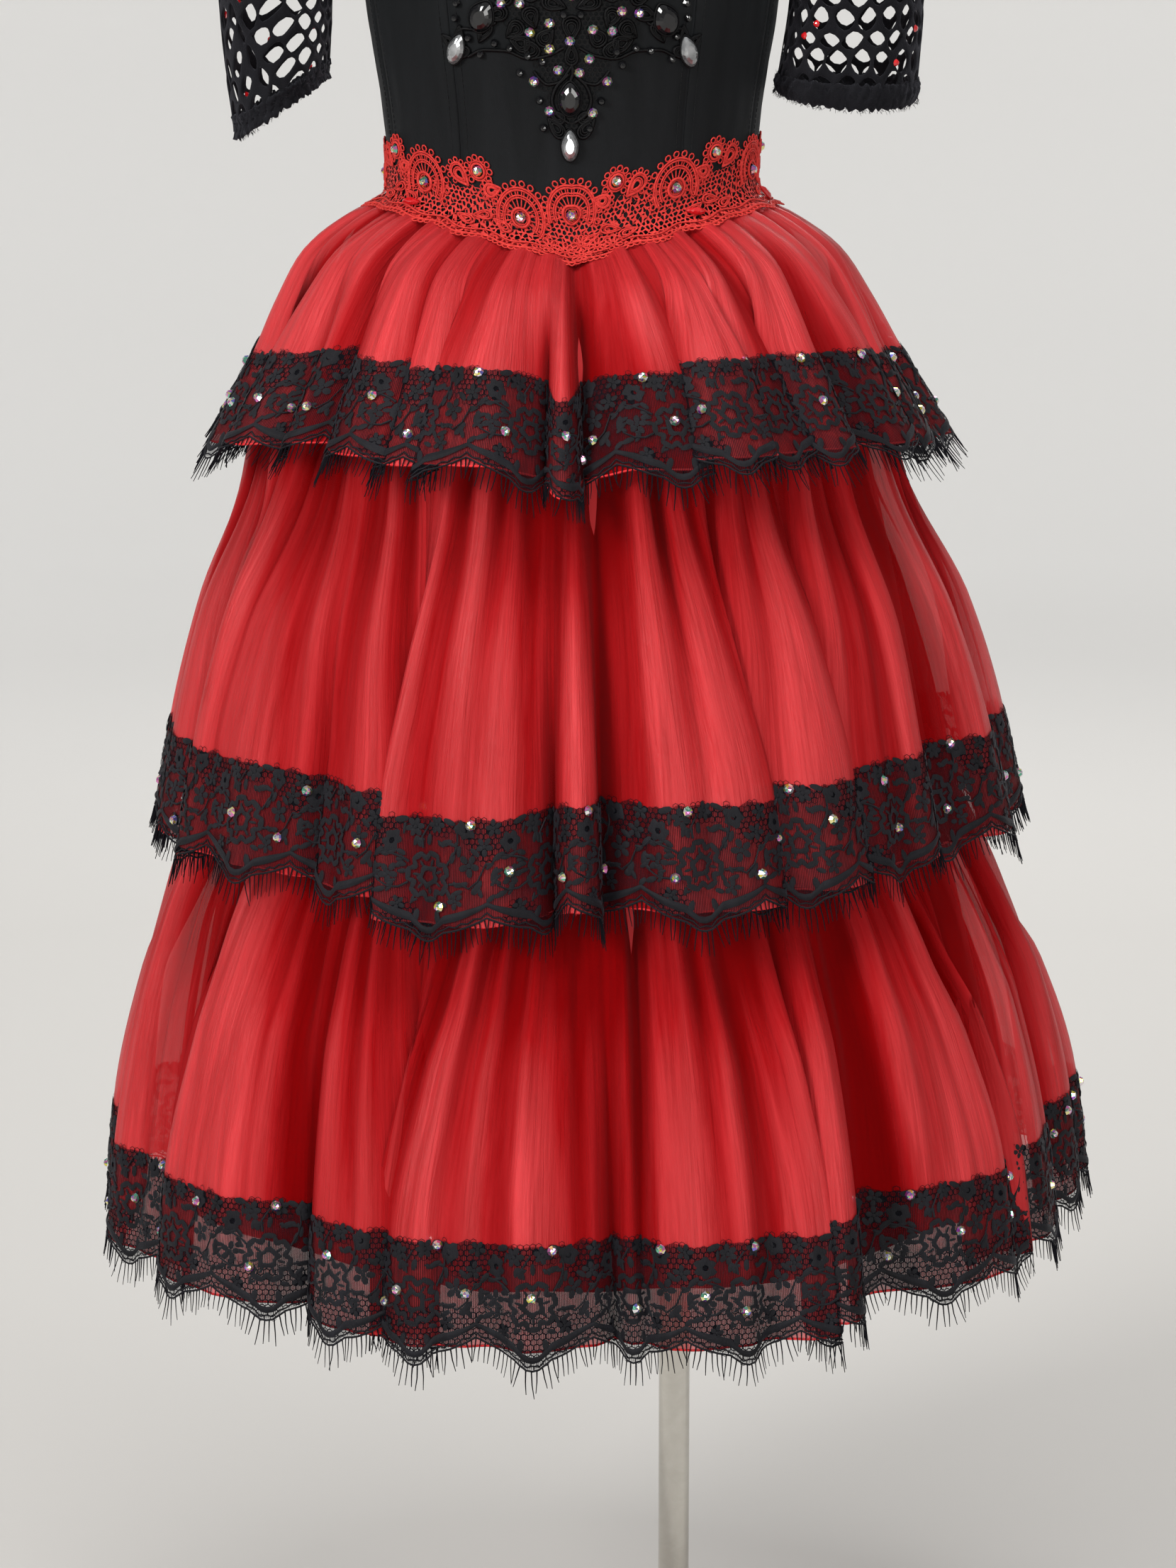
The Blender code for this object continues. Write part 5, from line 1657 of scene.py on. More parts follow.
    def spots(self) -> list[tuple[float, ...]]:
        """Scattered filling leaves of one repeat, clear of its rose and its open net."""
        rng = np.random.default_rng(61)
        found = []
        while len(found) < self.spot_count:
            along = rng.uniform(-0.5, 0.5) * self.period
            up = rng.uniform(0.012, self.top_height - 0.004)
            if math.hypot(along, up - self.rose[0]) < 1.08 * self.rose[1] or self.opened(along, up):
                continue
            found.append((along, up, rng.uniform(0.0040, 0.0085), rng.uniform(0.0020, 0.0036),
                          rng.uniform(0.0, 180.0)))
        return found

    def flowers(self) -> None:
        """Embroider the roses, ring flowers and leaves."""
        work = Embroidery()
        rng = self.rng
        spots = self.spots() + list(self.leaves)
        lift = self.lift + 0.0004
        for k in range(self.periods):
            x = k * self.period + rng.uniform(-0.0008, 0.0008)
            work.rose(x, *self.rose, rng.uniform(-0.4, 0.4), self.lift + 0.0005)
            for ring in self.rings:
                along = x + ring.along + rng.uniform(-0.001, 0.001)
                up = ring.up + rng.uniform(-0.001, 0.001)
                heading = rng.uniform(0.0, 6.28)
                if ring.opening < self.petalled:
                    work.flower(along, up, ring.radius, ring.lobes, math.degrees(heading), lift)
                else:
                    work.ring(along, up, ring.radius, ring.radius * ring.opening, ring.lobes, heading, lift,
                              rng.uniform(0.8, 1.0))
            for along, up, length, width, degrees in spots:
                work.petal(x + along, up, length, width, degrees + rng.uniform(-10.0, 10.0), 0.0007, lift)
        self.sew_part("flowers", work.mesh("flowers"), "lace_satin_stitch")

    def lashes(self) -> None:
        """Make the eyelash fringe, which hangs from the scalloped edge."""
        threads = Threads(0.00040)
        x = 0.0
        rng = self.rng
        while x < self.surface.width - 0.002:
            slope = float(self.edge(x + 0.0005) - self.edge(x - 0.0005)) / 0.001
            tilt = math.atan(slope) * 0.30 + rng.uniform(-0.06, 0.06)
            length = rng.uniform(*self.lash_length) * (1.0 + 0.18 * (1.0 - float(self.rise(x))))
            bend = rng.uniform(-0.12, 0.12)
            out = rng.uniform(0.0, 0.0018)
            points = []
            for share in self.lash_shares:
                heading = tilt + bend * share
                points.append((x + length * share * math.sin(heading),
                               float(self.edge(x)) - length * share * math.cos(heading),
                               self.lift + out * share ** 1.6))
            threads.add(points, (1.2, 0.95, 0.6))
            x += rng.uniform(*self.lash_apart)
        name = f"fringe_{self.number}"
        self.sew(name, threads.mesh(name), "lace_net")

    def stones(self, pixels: Sequence[Pair]) -> None:
        """Set the rhinestones: where the photograph shows them, and in a like rhythm elsewhere."""
        places = []
        for x, y in pixels:
            along, up = self.surface.at_pixel(self.camera, x, y)
            places.append((along, min(max(up, 0.004), self.top_height - 0.003)))
        shown = np.array([along for along, _ in places])
        for k in range(self.periods):
            for along, up in ((-0.0120, self.rings[2].up), (0.0, self.rose[0]), (0.041, 0.0215)):
                spot = (k * self.period + along) % self.surface.width
                if np.abs(wrap(shown - spot, self.surface.width)).min() > self.stone_clearance:
                    places.append((spot, up))
        gems = Gems()
        for along, up in places:
            gems.round_cut(self.surface.stand(along, up, self.lift + 0.0012), self.stone)
        self.wardrobe.piece(f"lace_{self.number}_stones", gems.mesh("stones"), "crystal_coated", False)

    def build(self, pixels: Sequence[Pair]) -> None:
        """Make every piece of the trim."""
        self.net()
        self.edging()
        self.flowers()
        self.lashes()
        self.stones(pixels)


DISPLAY_SCALE = 1.106
LACE_STONES = (
    ((331, 508), (372, 523), (393, 524), (477, 503), (616, 461), (640, 558), (718, 562), (737, 587), (757, 569),
     (819, 483), (860, 541), (897, 526), (941, 442), (1010, 436), (1049, 516), (1091, 442), (1144, 504)),
    ((250, 969), (226, 1040), (298, 1040), (391, 1017), (355, 1070), (458, 1072), (601, 1058), (565, 1147),
     (651, 1120), (746, 1037), (879, 1037), (777, 1100), (720, 1122), (861, 1123), (968, 1108), (1002, 985),
     (989, 1074), (1062, 1045), (1124, 993), (1145, 1062), (1211, 950), (1204, 1029), (1281, 985)),
    ((211, 1457), (173, 1532), (255, 1529), (353, 1538), (319, 1607), (420, 1595), (557, 1568), (510, 1640),
     (597, 1649), (703, 1584), (680, 1659), (845, 1569), (811, 1668), (902, 1656), (959, 1562), (953, 1672),
     (1040, 1602), (1085, 1515), (1156, 1521), (1134, 1604), (1223, 1573), (1288, 1500), (1341, 1440),
     (1352, 1346), (1363, 1422)),
)


PANEL_EDGES = (-180.0, -144.0, -108.0, -72.0, -36.0, 36.0, 72.0, 108.0, 144.0, 180.0)
PANEL_NAMES = ("bodice_back_left", "bodice_side_back_left", "bodice_side_left", "bodice_side_front_left",
               "bodice_centre_front", "bodice_side_front_right", "bodice_side_right",
               "bodice_side_back_right", "bodice_back_right")


@dataclass
class Bodice(Assembly):
    """Black basque bodice of nine panels, with straps, a hooked placket and bound edges."""

    wall: float = 0.0012
    columns: int = 20
    rows: int = 44
    groove: float = 0.0007
    groove_width: float = 0.0022
    strap_rows: Pair = (1.4425, 1.480)
    allowance: float = 0.010
    stitch: float = 0.0025
    stitches_apart: float = 0.0036
    stitched_off: float = 0.0068
    placket_rows: Pair = (1.148, 1.400)
    hooks: int = 12
    hooks_apart: float = 0.0205

    def __post_init__(self) -> None:
        """Take the surface of the cloth over the form."""
        self.surface = BodySurface(FORM_CLEARANCE + BODICE_WALL)

    def panel(self, name: str, first: float, last: float) -> None:
        """Make one panel, with a shallow groove where it meets the seams beside it."""
        gap = math.degrees(0.00012 / self.surface.reach)

        def place(across: Array, up: Array) -> Array:
            """Place on the panel."""
            eased = across - 0.10 * np.sin(2.0 * math.pi * across)
            degrees = first + gap + (last - first - 2.0 * gap) * eased
            low = seam_height(degrees) - 0.0012
            height = low + (bodice_top(degrees) - low) * up
            arc = self.surface.arc(degrees)
            off = np.minimum(arc - self.surface.arc(first), self.surface.arc(last) - arc)
            groove = -self.groove * np.exp(-(off / self.groove_width) ** 2)
            pull = 0.00035 * np.sin(arc * 310.0 + height * 40.0) * np.sin(height * 95.0 + first)
            return np.column_stack([arc, height, groove + pull * (1.0 - np.exp(-(off / 0.006) ** 2))])

        item = self.sew(name, flat_cloth(name, self.columns, self.rows, place), "bodice_cloth")
        width = float(self.surface.arc(last) - self.surface.arc(first)) + 2.0 * self.allowance
        add_wall(item, self.wall)

    def strap(self, name: str, side: float) -> None:
        """Make one shoulder strap from the front armhole round to the back."""
        bottom, top = self.strap_rows

        def place(across: Array, up: Array) -> Array:
            """Place on the strap."""
            height = bottom + 0.00015 + (top - bottom) * up
            low = 36.0 + 6.0 * up
            degrees = side * (low + (180.0 - 2.0 * low) * across)
            return np.column_stack([self.surface.arc(degrees), height, 0.0004 * np.sin(math.pi * up)])

        mesh = self.surface.lay(flat_cloth(name, 48, 14, place))
        if side < 0.0:
            mesh.flip_normals()
        item = self.wardrobe.piece(name, mesh, "bodice_cloth")
        length = abs(float(self.surface.arc(138.0) - self.surface.arc(42.0))) + 0.030
        add_wall(item, self.wall)

    def bind(self, binding: Threads, start: float, end: float, count: int) -> None:
        """Bind the bodice's upper edge from one angle to another."""
        degrees = np.linspace(start, end, count)
        binding.add(np.column_stack([self.surface.arc(degrees), bodice_top(degrees), np.zeros(count)]))

    def trimmings(self) -> None:
        """Make the binding and the topstitching."""
        binding = Threads(0.0016, 1)
        self.bind(binding, -36.0, 36.0, 90)
        for side in (-1.0, 1.0):
            self.bind(binding, side * 54.0, side * 126.0, 100)
            self.bind(binding, side * 144.0, side * 180.0, 50)
        self.sew("bodice_binding", binding.mesh("binding"), "bodice_cloth")
        stitches = Threads(0.00028)
        for edge in PANEL_EDGES[1:-1]:
            for offset in (-self.stitched_off, self.stitched_off):
                arc = float(self.surface.arc(edge)) + offset
                low = float(seam_height(edge)) + 0.004
                high = float(bodice_top(edge)) - 0.006
                for k in range(int((high - low) / self.stitches_apart)):
                    height = low + k * self.stitches_apart
                    stitches.add([(arc, height, 0.0002), (arc, height + self.stitch, 0.0002)])
        self.sew("bodice_topstitching", stitches.mesh("stitches"), "bodice_thread")

    def placket(self) -> None:
        """Make the placket over the centre-back closure, with its hooks."""
        half = float(self.surface.arc(6.0))
        middle = float(self.surface.arc(180.0))
        bottom, top = self.placket_rows

        def place(across: Array, up: Array) -> Array:
            """Place on the placket."""
            rise = 0.0013 + 0.0006 * np.sin(math.pi * across)
            return np.column_stack([middle + half * (2.0 * across - 1.0), bottom + (top - bottom) * up, rise])

        item = self.sew("back_placket", flat_cloth("back_placket", 12, 70, place), "bodice_cloth")
        add_wall(item, self.wall)
        hooks = Threads(0.00055, 1)
        for k in range(self.hooks):
            height = 1.160 + k * self.hooks_apart
            loop = arc_points((middle - 0.004, height), 0.0030, 60.0, 300.0, 8, 0.0026, 0.8)
            ends = [(middle + 0.006, height + rise, 0.0026) for rise in (0.0012, -0.0012)]
            hooks.add(ends[:1] + loop + ends[1:])
        self.sew("placket_hooks", hooks.mesh("hooks"), "polished_chrome")

    def build(self) -> None:
        """Make every piece of the bodice."""
        for name, first, last in zip(PANEL_NAMES, PANEL_EDGES, PANEL_EDGES[1:]):
            self.panel(name, first, last)
        self.strap("strap_right", 1.0)
        self.strap("strap_left", -1.0)
        self.trimmings()
        self.placket()


@dataclass
class WaistBand(Assembly):
    """Red guipure over the waist seam: fans, flowers and spirals on a stiff ground, with a basque point."""

    pair_apart: float = 0.034
    single_fans: int = 8
    fan_rings: tuple[float, ...] = (0.0060, 0.0108, 0.0150, 0.0186)
    fan_squash: float = 1.16
    spokes: int = 13
    flower_up: float = 0.033
    lower: float = -0.006
    basque: Triple = (0.006, -0.0045, 0.016)
    cell: float = 0.0033
    bar: float = 0.00052
    picots_apart: float = 0.0036
    rosettes: tuple[Pair, ...] = ((0.0060, -0.0050), (-0.0040, 0.0005), (0.0160, 0.0010), (0.0058, 0.0050),
                                  (-0.0140, 0.0010), (0.0260, -0.0010))
    lifts: tuple[Pair, ...] = ((-0.20, 0.0), (-0.104, 0.002), (-0.064, 0.004), (-0.034, 0.0), (0.0, 0.0),
                               (0.020, 0.004), (0.040, 0.008), (0.070, 0.007), (0.105, 0.006), (0.20, 0.0))
    leaf_places: tuple[tuple[float, ...], ...] = ((0.012, 0.003, 0.014, 20.0), (0.026, 0.006, 0.014, -15.0),
                                                  (0.037, 0.001, 0.013, 10.0))
    navettes: tuple[Triple, ...] = ((-0.1130, 0.0030, 12.0), (0.0838, 0.0050, -20.0), (0.1650, 0.0030, -50.0))

    def __post_init__(self) -> None:
        """Set the fans out round the waist: a pair at the basque point and single ones elsewhere."""
        self.surface = BandSurface()
        self.cords = Threads(0.00062)
        self.gems = Gems()
        width = self.surface.width
        step = (width - self.pair_apart) / (self.single_fans + 1)
        fans = [(0.0, 0.0254), (-self.pair_apart, 0.0150)]
        fans += [(k * step, 0.0170) for k in range(1, self.single_fans + 1)]
        fans = [(wrap(x, width), y) for x, y in fans]
        self.fans = [(x, y + self.lifted(x)) for x, y in fans]

    def lifted(self, x: float) -> float:
        """How far the pattern is sewn above its usual place."""
        return float(np.interp(x, *zip(*self.lifts)))

    def ring(self, centre: Pair, radius: float, end: float, count: int, lift: float, scale: float) -> None:
        """Add one closed ring of cord."""
        self.cords.loop(arc_points(centre, radius, 0.0, end, count, lift), scale)

    def spoke(self, x: float, y: float, angle: float, start: float, end: float) -> None:
        """Add one straight bar from the middle of a fan."""
        side, rise = math.sin(angle), math.cos(angle) * self.fan_squash
        self.cords.add([(x + reach * side, y + reach * rise, 0.0004) for reach in (start, end)], 0.75)

    def fan(self, x: float, y: float) -> None:
        """Add a fan: an eye with a stone, rings, spokes and a row of picots."""
        eye, inner, outer, picots = self.fan_rings
        self.ring((x, y), eye, 345.0, 18, 0.0010, 1.5)
        self.ring((x, y), eye - 0.0014, 330.0, 12, 0.0004, 0.8)
        for radius, scale in ((inner, 0.9), (inner + 0.0013, 0.9), (outer, 1.1), (outer + 0.0013, 1.1)):
            points = arc_points((0.0, 0.0), radius, -28.0, 208.0, 24, 0.0008)
            self.cords.add([(x + a, y + b * self.fan_squash, c) for a, b, c in points], scale)
        for k in range(self.spokes):
            angle = math.radians(-112.0 + 224.0 * k / (self.spokes - 1))
            self.spoke(x, y, angle, eye, outer)
            self.spoke(x, y, angle + 0.12, inner, outer)
            centre = (x + picots * math.sin(angle), y + picots * math.cos(angle) * self.fan_squash)
            self.ring(centre, 0.0019, 315.0, 7, 0.0006, 0.85)
        self.gems.round_cut(self.surface.stand(x, y, 0.0016), 0.0036)

    def flower(self, x: float, y: float) -> None:
        """Add a small flower with a stone, ringed with picots."""
        self.ring((x, y), 0.0046, 337.0, 15, 0.0010, 1.4)
        self.ring((x, y), 0.0062, 337.0, 15, 0.0006, 0.9)
        for k in range(10):
            angle = math.radians(-55.0 + 290.0 * k / 9.0)
            self.ring((x + 0.0083 * math.cos(angle), y + 0.0083 * math.sin(angle)), 0.0018, 320.0, 8, 0.0006, 0.85)
        self.gems.round_cut(self.surface.stand(x, y, 0.0016), 0.0035)

    def spiral(self, x: float, y: float, size: float, degrees: float) -> None:
        """Add a teardrop of doubled cords with an open middle and a row of picots."""
        for share, scale in ((1.0, 1.2), (0.86, 0.9), (0.62, 0.9), (0.44, 1.3)):
            self.cords.loop(teardrop(x, y, size * share, size * 0.72 * share, degrees, 0.0008), scale)
        for point in teardrop(x, y, size * 1.20, size * 0.90, degrees, 0.0006, 12)[3:10]:
            self.ring(point[:2], 0.0015, 315.0, 7, 0.0006, 0.8)

    def lower_edge(self, x: Array) -> Array:
        """Height of the ground's lower edge over the seam."""
        middle, drop, spread = self.basque
        x = np.asarray(x, float)
        return (self.lower + drop * np.exp(-((x - middle) / spread) ** 2)
                + 0.0016 * np.sin(x * 2.0 * math.pi / 0.031))

    def ground(self) -> None:
        """Make the stiff net under the pattern and the picots along its lower edge."""
        width = self.surface.width
        half = width / 2.0
        fans = np.array(self.fans)

        def upper(x: float) -> float:
            """Height of the ground's upper side."""
            off = np.abs(wrap(x - fans[:, 0], width))
            near = int(np.argmin(off))
            if off[near] < 0.016:
                return fans[near, 1] + 0.004
            return 0.021 + self.lifted(x)

        def keeps(x: float, y: float) -> bool:
            """Whether the ground has a mesh here."""
            return float(self.lower_edge(x - half)) < y < upper(x - half)

        net = hex_net("ground", width, self.lower - 0.008, 0.032, self.cell, self.bar, keeps)
        flat = read_points(net)
        rng = np.random.default_rng(77)
        flat[:, 0] += 0.0008 * ripple(rng, width, 0.011, flat[:, 0] + 2.0 * flat[:, 1], 5)
        flat[:, 1] += 0.0009 * ripple(rng, width, 0.009, flat[:, 0] - 1.5 * flat[:, 1], 5)
        move_points(net, flat)
        net.transform(Matrix.Translation((-half, 0.0, 0.0)))
        self.sew("waist_band", net, "guipure_thread")
        x = -half
        while x < half - 0.002:
            centre = (x, float(self.lower_edge(x)) - 0.0012)
            self.cords.add(arc_points(centre, 0.0017, 100.0, 440.0, 8), 0.9)
            x += self.picots_apart
        line = np.linspace(-half, half, 360, endpoint=False)
        for up, lift, scale in ((0.0, 0.0004, 1.3), (0.0052, 0.0006, 1.1)):
            self.cords.loop(np.column_stack([line, self.lower_edge(line) + up, np.full(360, lift)]), scale)

    def fill_between(self, x: float, y: float, side: float) -> None:
        """Add the pointed leaves that fill the ground between two fans."""
        for along, up, length, degrees in self.leaf_places:
            turn = degrees if side > 0.0 else 180.0 - degrees
            for share in (1.0, 0.6):
                self.cords.loop(teardrop(x + side * along, y + up, length * share, 0.0062 * share, turn,
                                         0.0008, 12))

    def rosette(self, x: float, y: float) -> None:
        """Add a small wheel of loops, as fills the basque point."""
        self.ring((x, y), 0.0014, 315.0, 7, 0.0014, 1.1)
        for k in range(9):
            angle = 40.0 * k + 10.0
            middle = (x + 0.0040 * math.cos(math.radians(angle)), y + 0.0040 * math.sin(math.radians(angle)))
            self.cords.loop(teardrop(*middle, 0.0048, 0.0032, angle + 180.0, 0.0010, 10), 0.9)

    def build(self) -> None:
        """Make the band."""
        self.ground()
        for x, y in self.fans:
            self.fan(x, y)
        ordered = sorted(x for x, _ in self.fans)
        for left, right in zip(ordered, ordered[1:] + [ordered[0] + self.surface.width]):
            if right - left < 0.05:
                continue
            side = 1.0 if (left + right) / 2.0 >= -0.017 else -1.0
            near = left if side > 0.0 else right
            up = self.lifted(near + side * 0.0305)
            self.flower(near + side * 0.0305, self.flower_up + up)
            self.spiral(near + side * 0.0200, 0.0235 + up, 0.0125, 90.0 + side * 65.0)
            self.spiral(near + side * 0.0435, 0.0270 + up, 0.0165, 90.0 + side * 130.0)
            self.fill_between(near, 0.004, side)
        for x, y in self.rosettes:
            self.rosette(x, y)
        self.sew("waist_band_pattern", self.cords.mesh("pattern"), "guipure_thread")
        self.wardrobe.piece("waist_band_stones", self.gems.mesh("stones"), "crystal_coated", False)
        navettes = Gems()
        for x, y, degrees in self.navettes:
            place = self.surface.stand(x, y, 0.0016) @ Matrix.Rotation(math.radians(degrees + 90.0), 4, "Z")
            navettes.pear_cut(place, 0.0135, 0.0052, 0.0030, 12)
        self.wardrobe.piece("waist_band_navettes", navettes.mesh("navettes"), "red_bead", False)


@dataclass
class Sleeve(Assembly):
    """Empty elbow-length sleeve of knotted net, with a fuzzy cuff.

    Args:
        name: Which side, right or left.
        sections: Its sections from the shoulder down.
        side: 1 for the +X side and -1 for the other.
    """

    name: str
    sections: Sequence[SleeveRow]
    side: float
    cell: float = 0.0162
    stretch: float = 0.95
    mesh_point: float = 0.34
    cord: float = 0.0016
    wall: float = 0.0021
    depth_shift: float = 0.0150
    columns: int = 120
    steps: int = 48
    cuff_width: float = 0.0135
    cuff_columns: int = 210
    cuff_wall: float = 0.0022
    fibre_count: int = 600
    bead: float = 0.0025
    hidden_beads: int = 9

    def __post_init__(self) -> None:
        """Shape the tube that the net follows."""
        side = self.side
        self.rng = np.random.default_rng(31 if side > 0 else 32)
        _, (x, height, half_width, half_depth, tilt, front) = read_rows(self.sections, self.steps)
        angle = (np.linspace(0.0, 2.0 * math.pi, self.columns, endpoint=False)[None, :] - math.pi / 2.0) * side
        slant = np.radians(tilt)
        across = half_width * np.sin(angle)
        forward = half_depth * np.cos(angle)
        grid = np.stack([side * (x + side * across * np.cos(slant)), -forward + 0.0 * slant,
                         height + side * across * np.sin(slant) - front * np.maximum(0.0, np.cos(angle))], axis=-1)
        self.surface = ClothSurface(grid[::-1])

    def net(self) -> None:
        """Make the knotted net."""
        width, height = self.surface.width, self.surface.height
        mesh = hex_net("net", width, self.cuff_width * 0.5, height - 0.001, self.cell, self.cord,
                       stretch=self.stretch, peak=self.mesh_point)
        flat = read_points(mesh)
        middle = width / 2.0
        behind = np.where(flat[:, 0] > middle, 1.0, -1.0)
        near = np.abs(flat[:, 0] - middle)
        outer = np.clip(1.0 - near / (0.6 * middle), 0.0, 1.0)
        wobble = ripple(self.rng, width, 0.022, near + flat[:, 1] * 0.7, 5)
        sway = ripple(self.rng, width, 0.026, near - flat[:, 1] * 1.3, 5)
        away = ripple(self.rng, width, 0.030, flat[:, 0] + flat[:, 1], 4)
        flat[:, 0] += 0.0030 * behind * wobble * np.clip(near / 0.01, 0.0, 1.0)
        flat[:, 1] += 0.0028 * sway + 0.0022 * outer * behind * away
        slack = np.clip(1.3 * (1.0 - flat[:, 1] / height), 0.0, 1.0)
        sunk = self.depth_shift * slack * np.sin(math.pi * np.clip(near / middle, 0.0, 1.0))
        flat[:, 1] = np.clip(flat[:, 1] - np.where(behind > 0.0, sunk, 0.0), 0.0, height - 0.0005)
        flat[:, 2] = 0.0005 * wobble * sway
        mesh = merged(self.surface.lay(move_points(mesh, flat)))
        item = self.wardrobe.piece(f"sleeve_{self.name}", mesh, "sleeve_cord")
        add_wall(item, self.wall, 0.0)
        add_rounding(item)

    def cuff(self) -> None:
        """Make the fuzzy ribbon at the lower edge, with its frayed fibres."""
        width, high = self.surface.width, self.cuff_width
        rng = self.rng

        def place(across: Array, up: Array) -> Array:
            """Place on the ribbon."""
            x = across * width
            rough = rng.uniform(-0.0008, 0.0008, len(x)) * ((across > 0.001) & (across < 0.999))
            lumps = ripple(rng, width, 0.0052, x + 0.3 * high * up, 6)
            lumps = lumps + ripple(rng, width, 0.009, x - 0.5 * high * up, 5)
            y = high * up + (0.0006 * lumps + rough) * np.where(up < 0.5, 1.3, 0.8)
            return np.column_stack([x, y, 0.0010 + 0.0013 * np.sin(math.pi * up) + rough + 0.0004 * lumps])

        name = f"cuff_{self.name}"
        item = self.sew(name, flat_cloth(name, self.cuff_columns, 7, place), "sleeve_cord")
        add_wall(item, self.cuff_wall)
        fibres = Threads(0.00016)
        for _ in range(self.fibre_count):
            x = rng.uniform(0.0, width)
            y = rng.choice((rng.uniform(-0.0006, 0.001), rng.uniform(0.0, high)))
            reach = rng.uniform(0.0012, 0.0032)
            heading = rng.uniform(0.0, 2.0 * math.pi)
            if y < 0.001:
                heading = rng.uniform(-2.6, -0.5)
            end = (x + reach * math.cos(heading), y + reach * math.sin(heading), 0.0022 + rng.uniform(0.0, 0.0012))
            fibres.add([(x, y, 0.0018), end], (1.0, 0.5))
        self.sew(f"{name}_fibres", fibres.mesh("fibres"), "sleeve_cord")

    def beads(self, camera: PhotoCamera, pixels: Sequence[Pair]) -> None:
        """Sew on the red beads that the photograph shows, and a few like them behind."""
        beads = Gems()
        places = [self.surface.at_pixel(camera, x, y) for x, y in pixels]
        for _ in range(self.hidden_beads):
            places.append((self.rng.uniform(0.0, self.surface.width),
                           self.rng.uniform(0.03, self.surface.height * 0.9)))
        for along, up in places:
            beads.round_cut(self.surface.stand(along, up, 0.0010), self.bead, 8)
        self.wardrobe.piece(f"sleeve_{self.name}_beads", beads.mesh("beads"), "red_bead", False)

    def build(self, camera: PhotoCamera, pixels: Sequence[Pair]) -> None:
        """Make the sleeve."""
        self.net()
        self.cuff()
        self.beads(camera, pixels)


class FrontStone(NamedTuple):
    """Large stone on the bodice's front."""

    name: str
    x: float
    height: float
    length: float
    width: float
    turn: float


FRONT_STONES = (
    FrontStone("stone_black_left", -0.0570, 1.2200, 0.0210, 0.0160, -32.0),
    FrontStone("stone_black_right", 0.0600, 1.2180, 0.0210, 0.0160, 28.0),
    FrontStone("stone_black_centre", -0.0010, 1.1675, 0.0215, 0.0145, 0.0),
    FrontStone("stone_grey_left", -0.0735, 1.1990, 0.0210, 0.0115, -26.0),
    FrontStone("stone_grey_right", 0.0745, 1.1975, 0.0210, 0.0115, 24.0),
    FrontStone("stone_grey_centre", -0.0010, 1.1375, 0.0200, 0.0110, 0.0),
)
CRYSTALS = ((-0.0450, 1.2281), (-0.0330, 1.2281), (-0.0140, 1.2155), (-0.0265, 1.2096), (-0.0010, 1.2042),
            (0.0135, 1.2114), (0.0260, 1.2105), (0.0320, 1.2231), (0.0430, 1.2218), (-0.0140, 1.1992),
            (0.0115, 1.1929), (-0.0085, 1.1857), (0.0050, 1.1839), (-0.0240, 1.1785), (0.0227, 1.1785),
            (-0.0140, 1.1595), (0.0134, 1.1582), (-0.0200, 1.2420), (0.0200, 1.2420), (0.0000, 1.2330),
            (-0.0360, 1.2450), (0.0360, 1.2450), (0.0000, 1.2520))
BLACK_BEADS = ((-0.0735, 1.2281), (-0.0745, 1.2186), (-0.0583, 1.1956), (-0.0490, 1.2028), (-0.0393, 1.1997),
               (-0.0278, 1.1947), (-0.0185, 1.1911), (-0.0329, 1.1839), (-0.0204, 1.1663), (0.0190, 1.1659),
               (-0.0180, 1.1487), (0.0116, 1.1483), (0.0643, 1.1925), (0.0505, 1.1979), (0.0412, 1.1997),
               (0.0287, 1.1974), (0.0324, 1.1889), (-0.0660, 1.2060), (0.0670, 1.2070), (-0.0050, 1.2210),
               (0.0060, 1.2210), (0.0745, 1.2186), (0.0735, 1.2281))

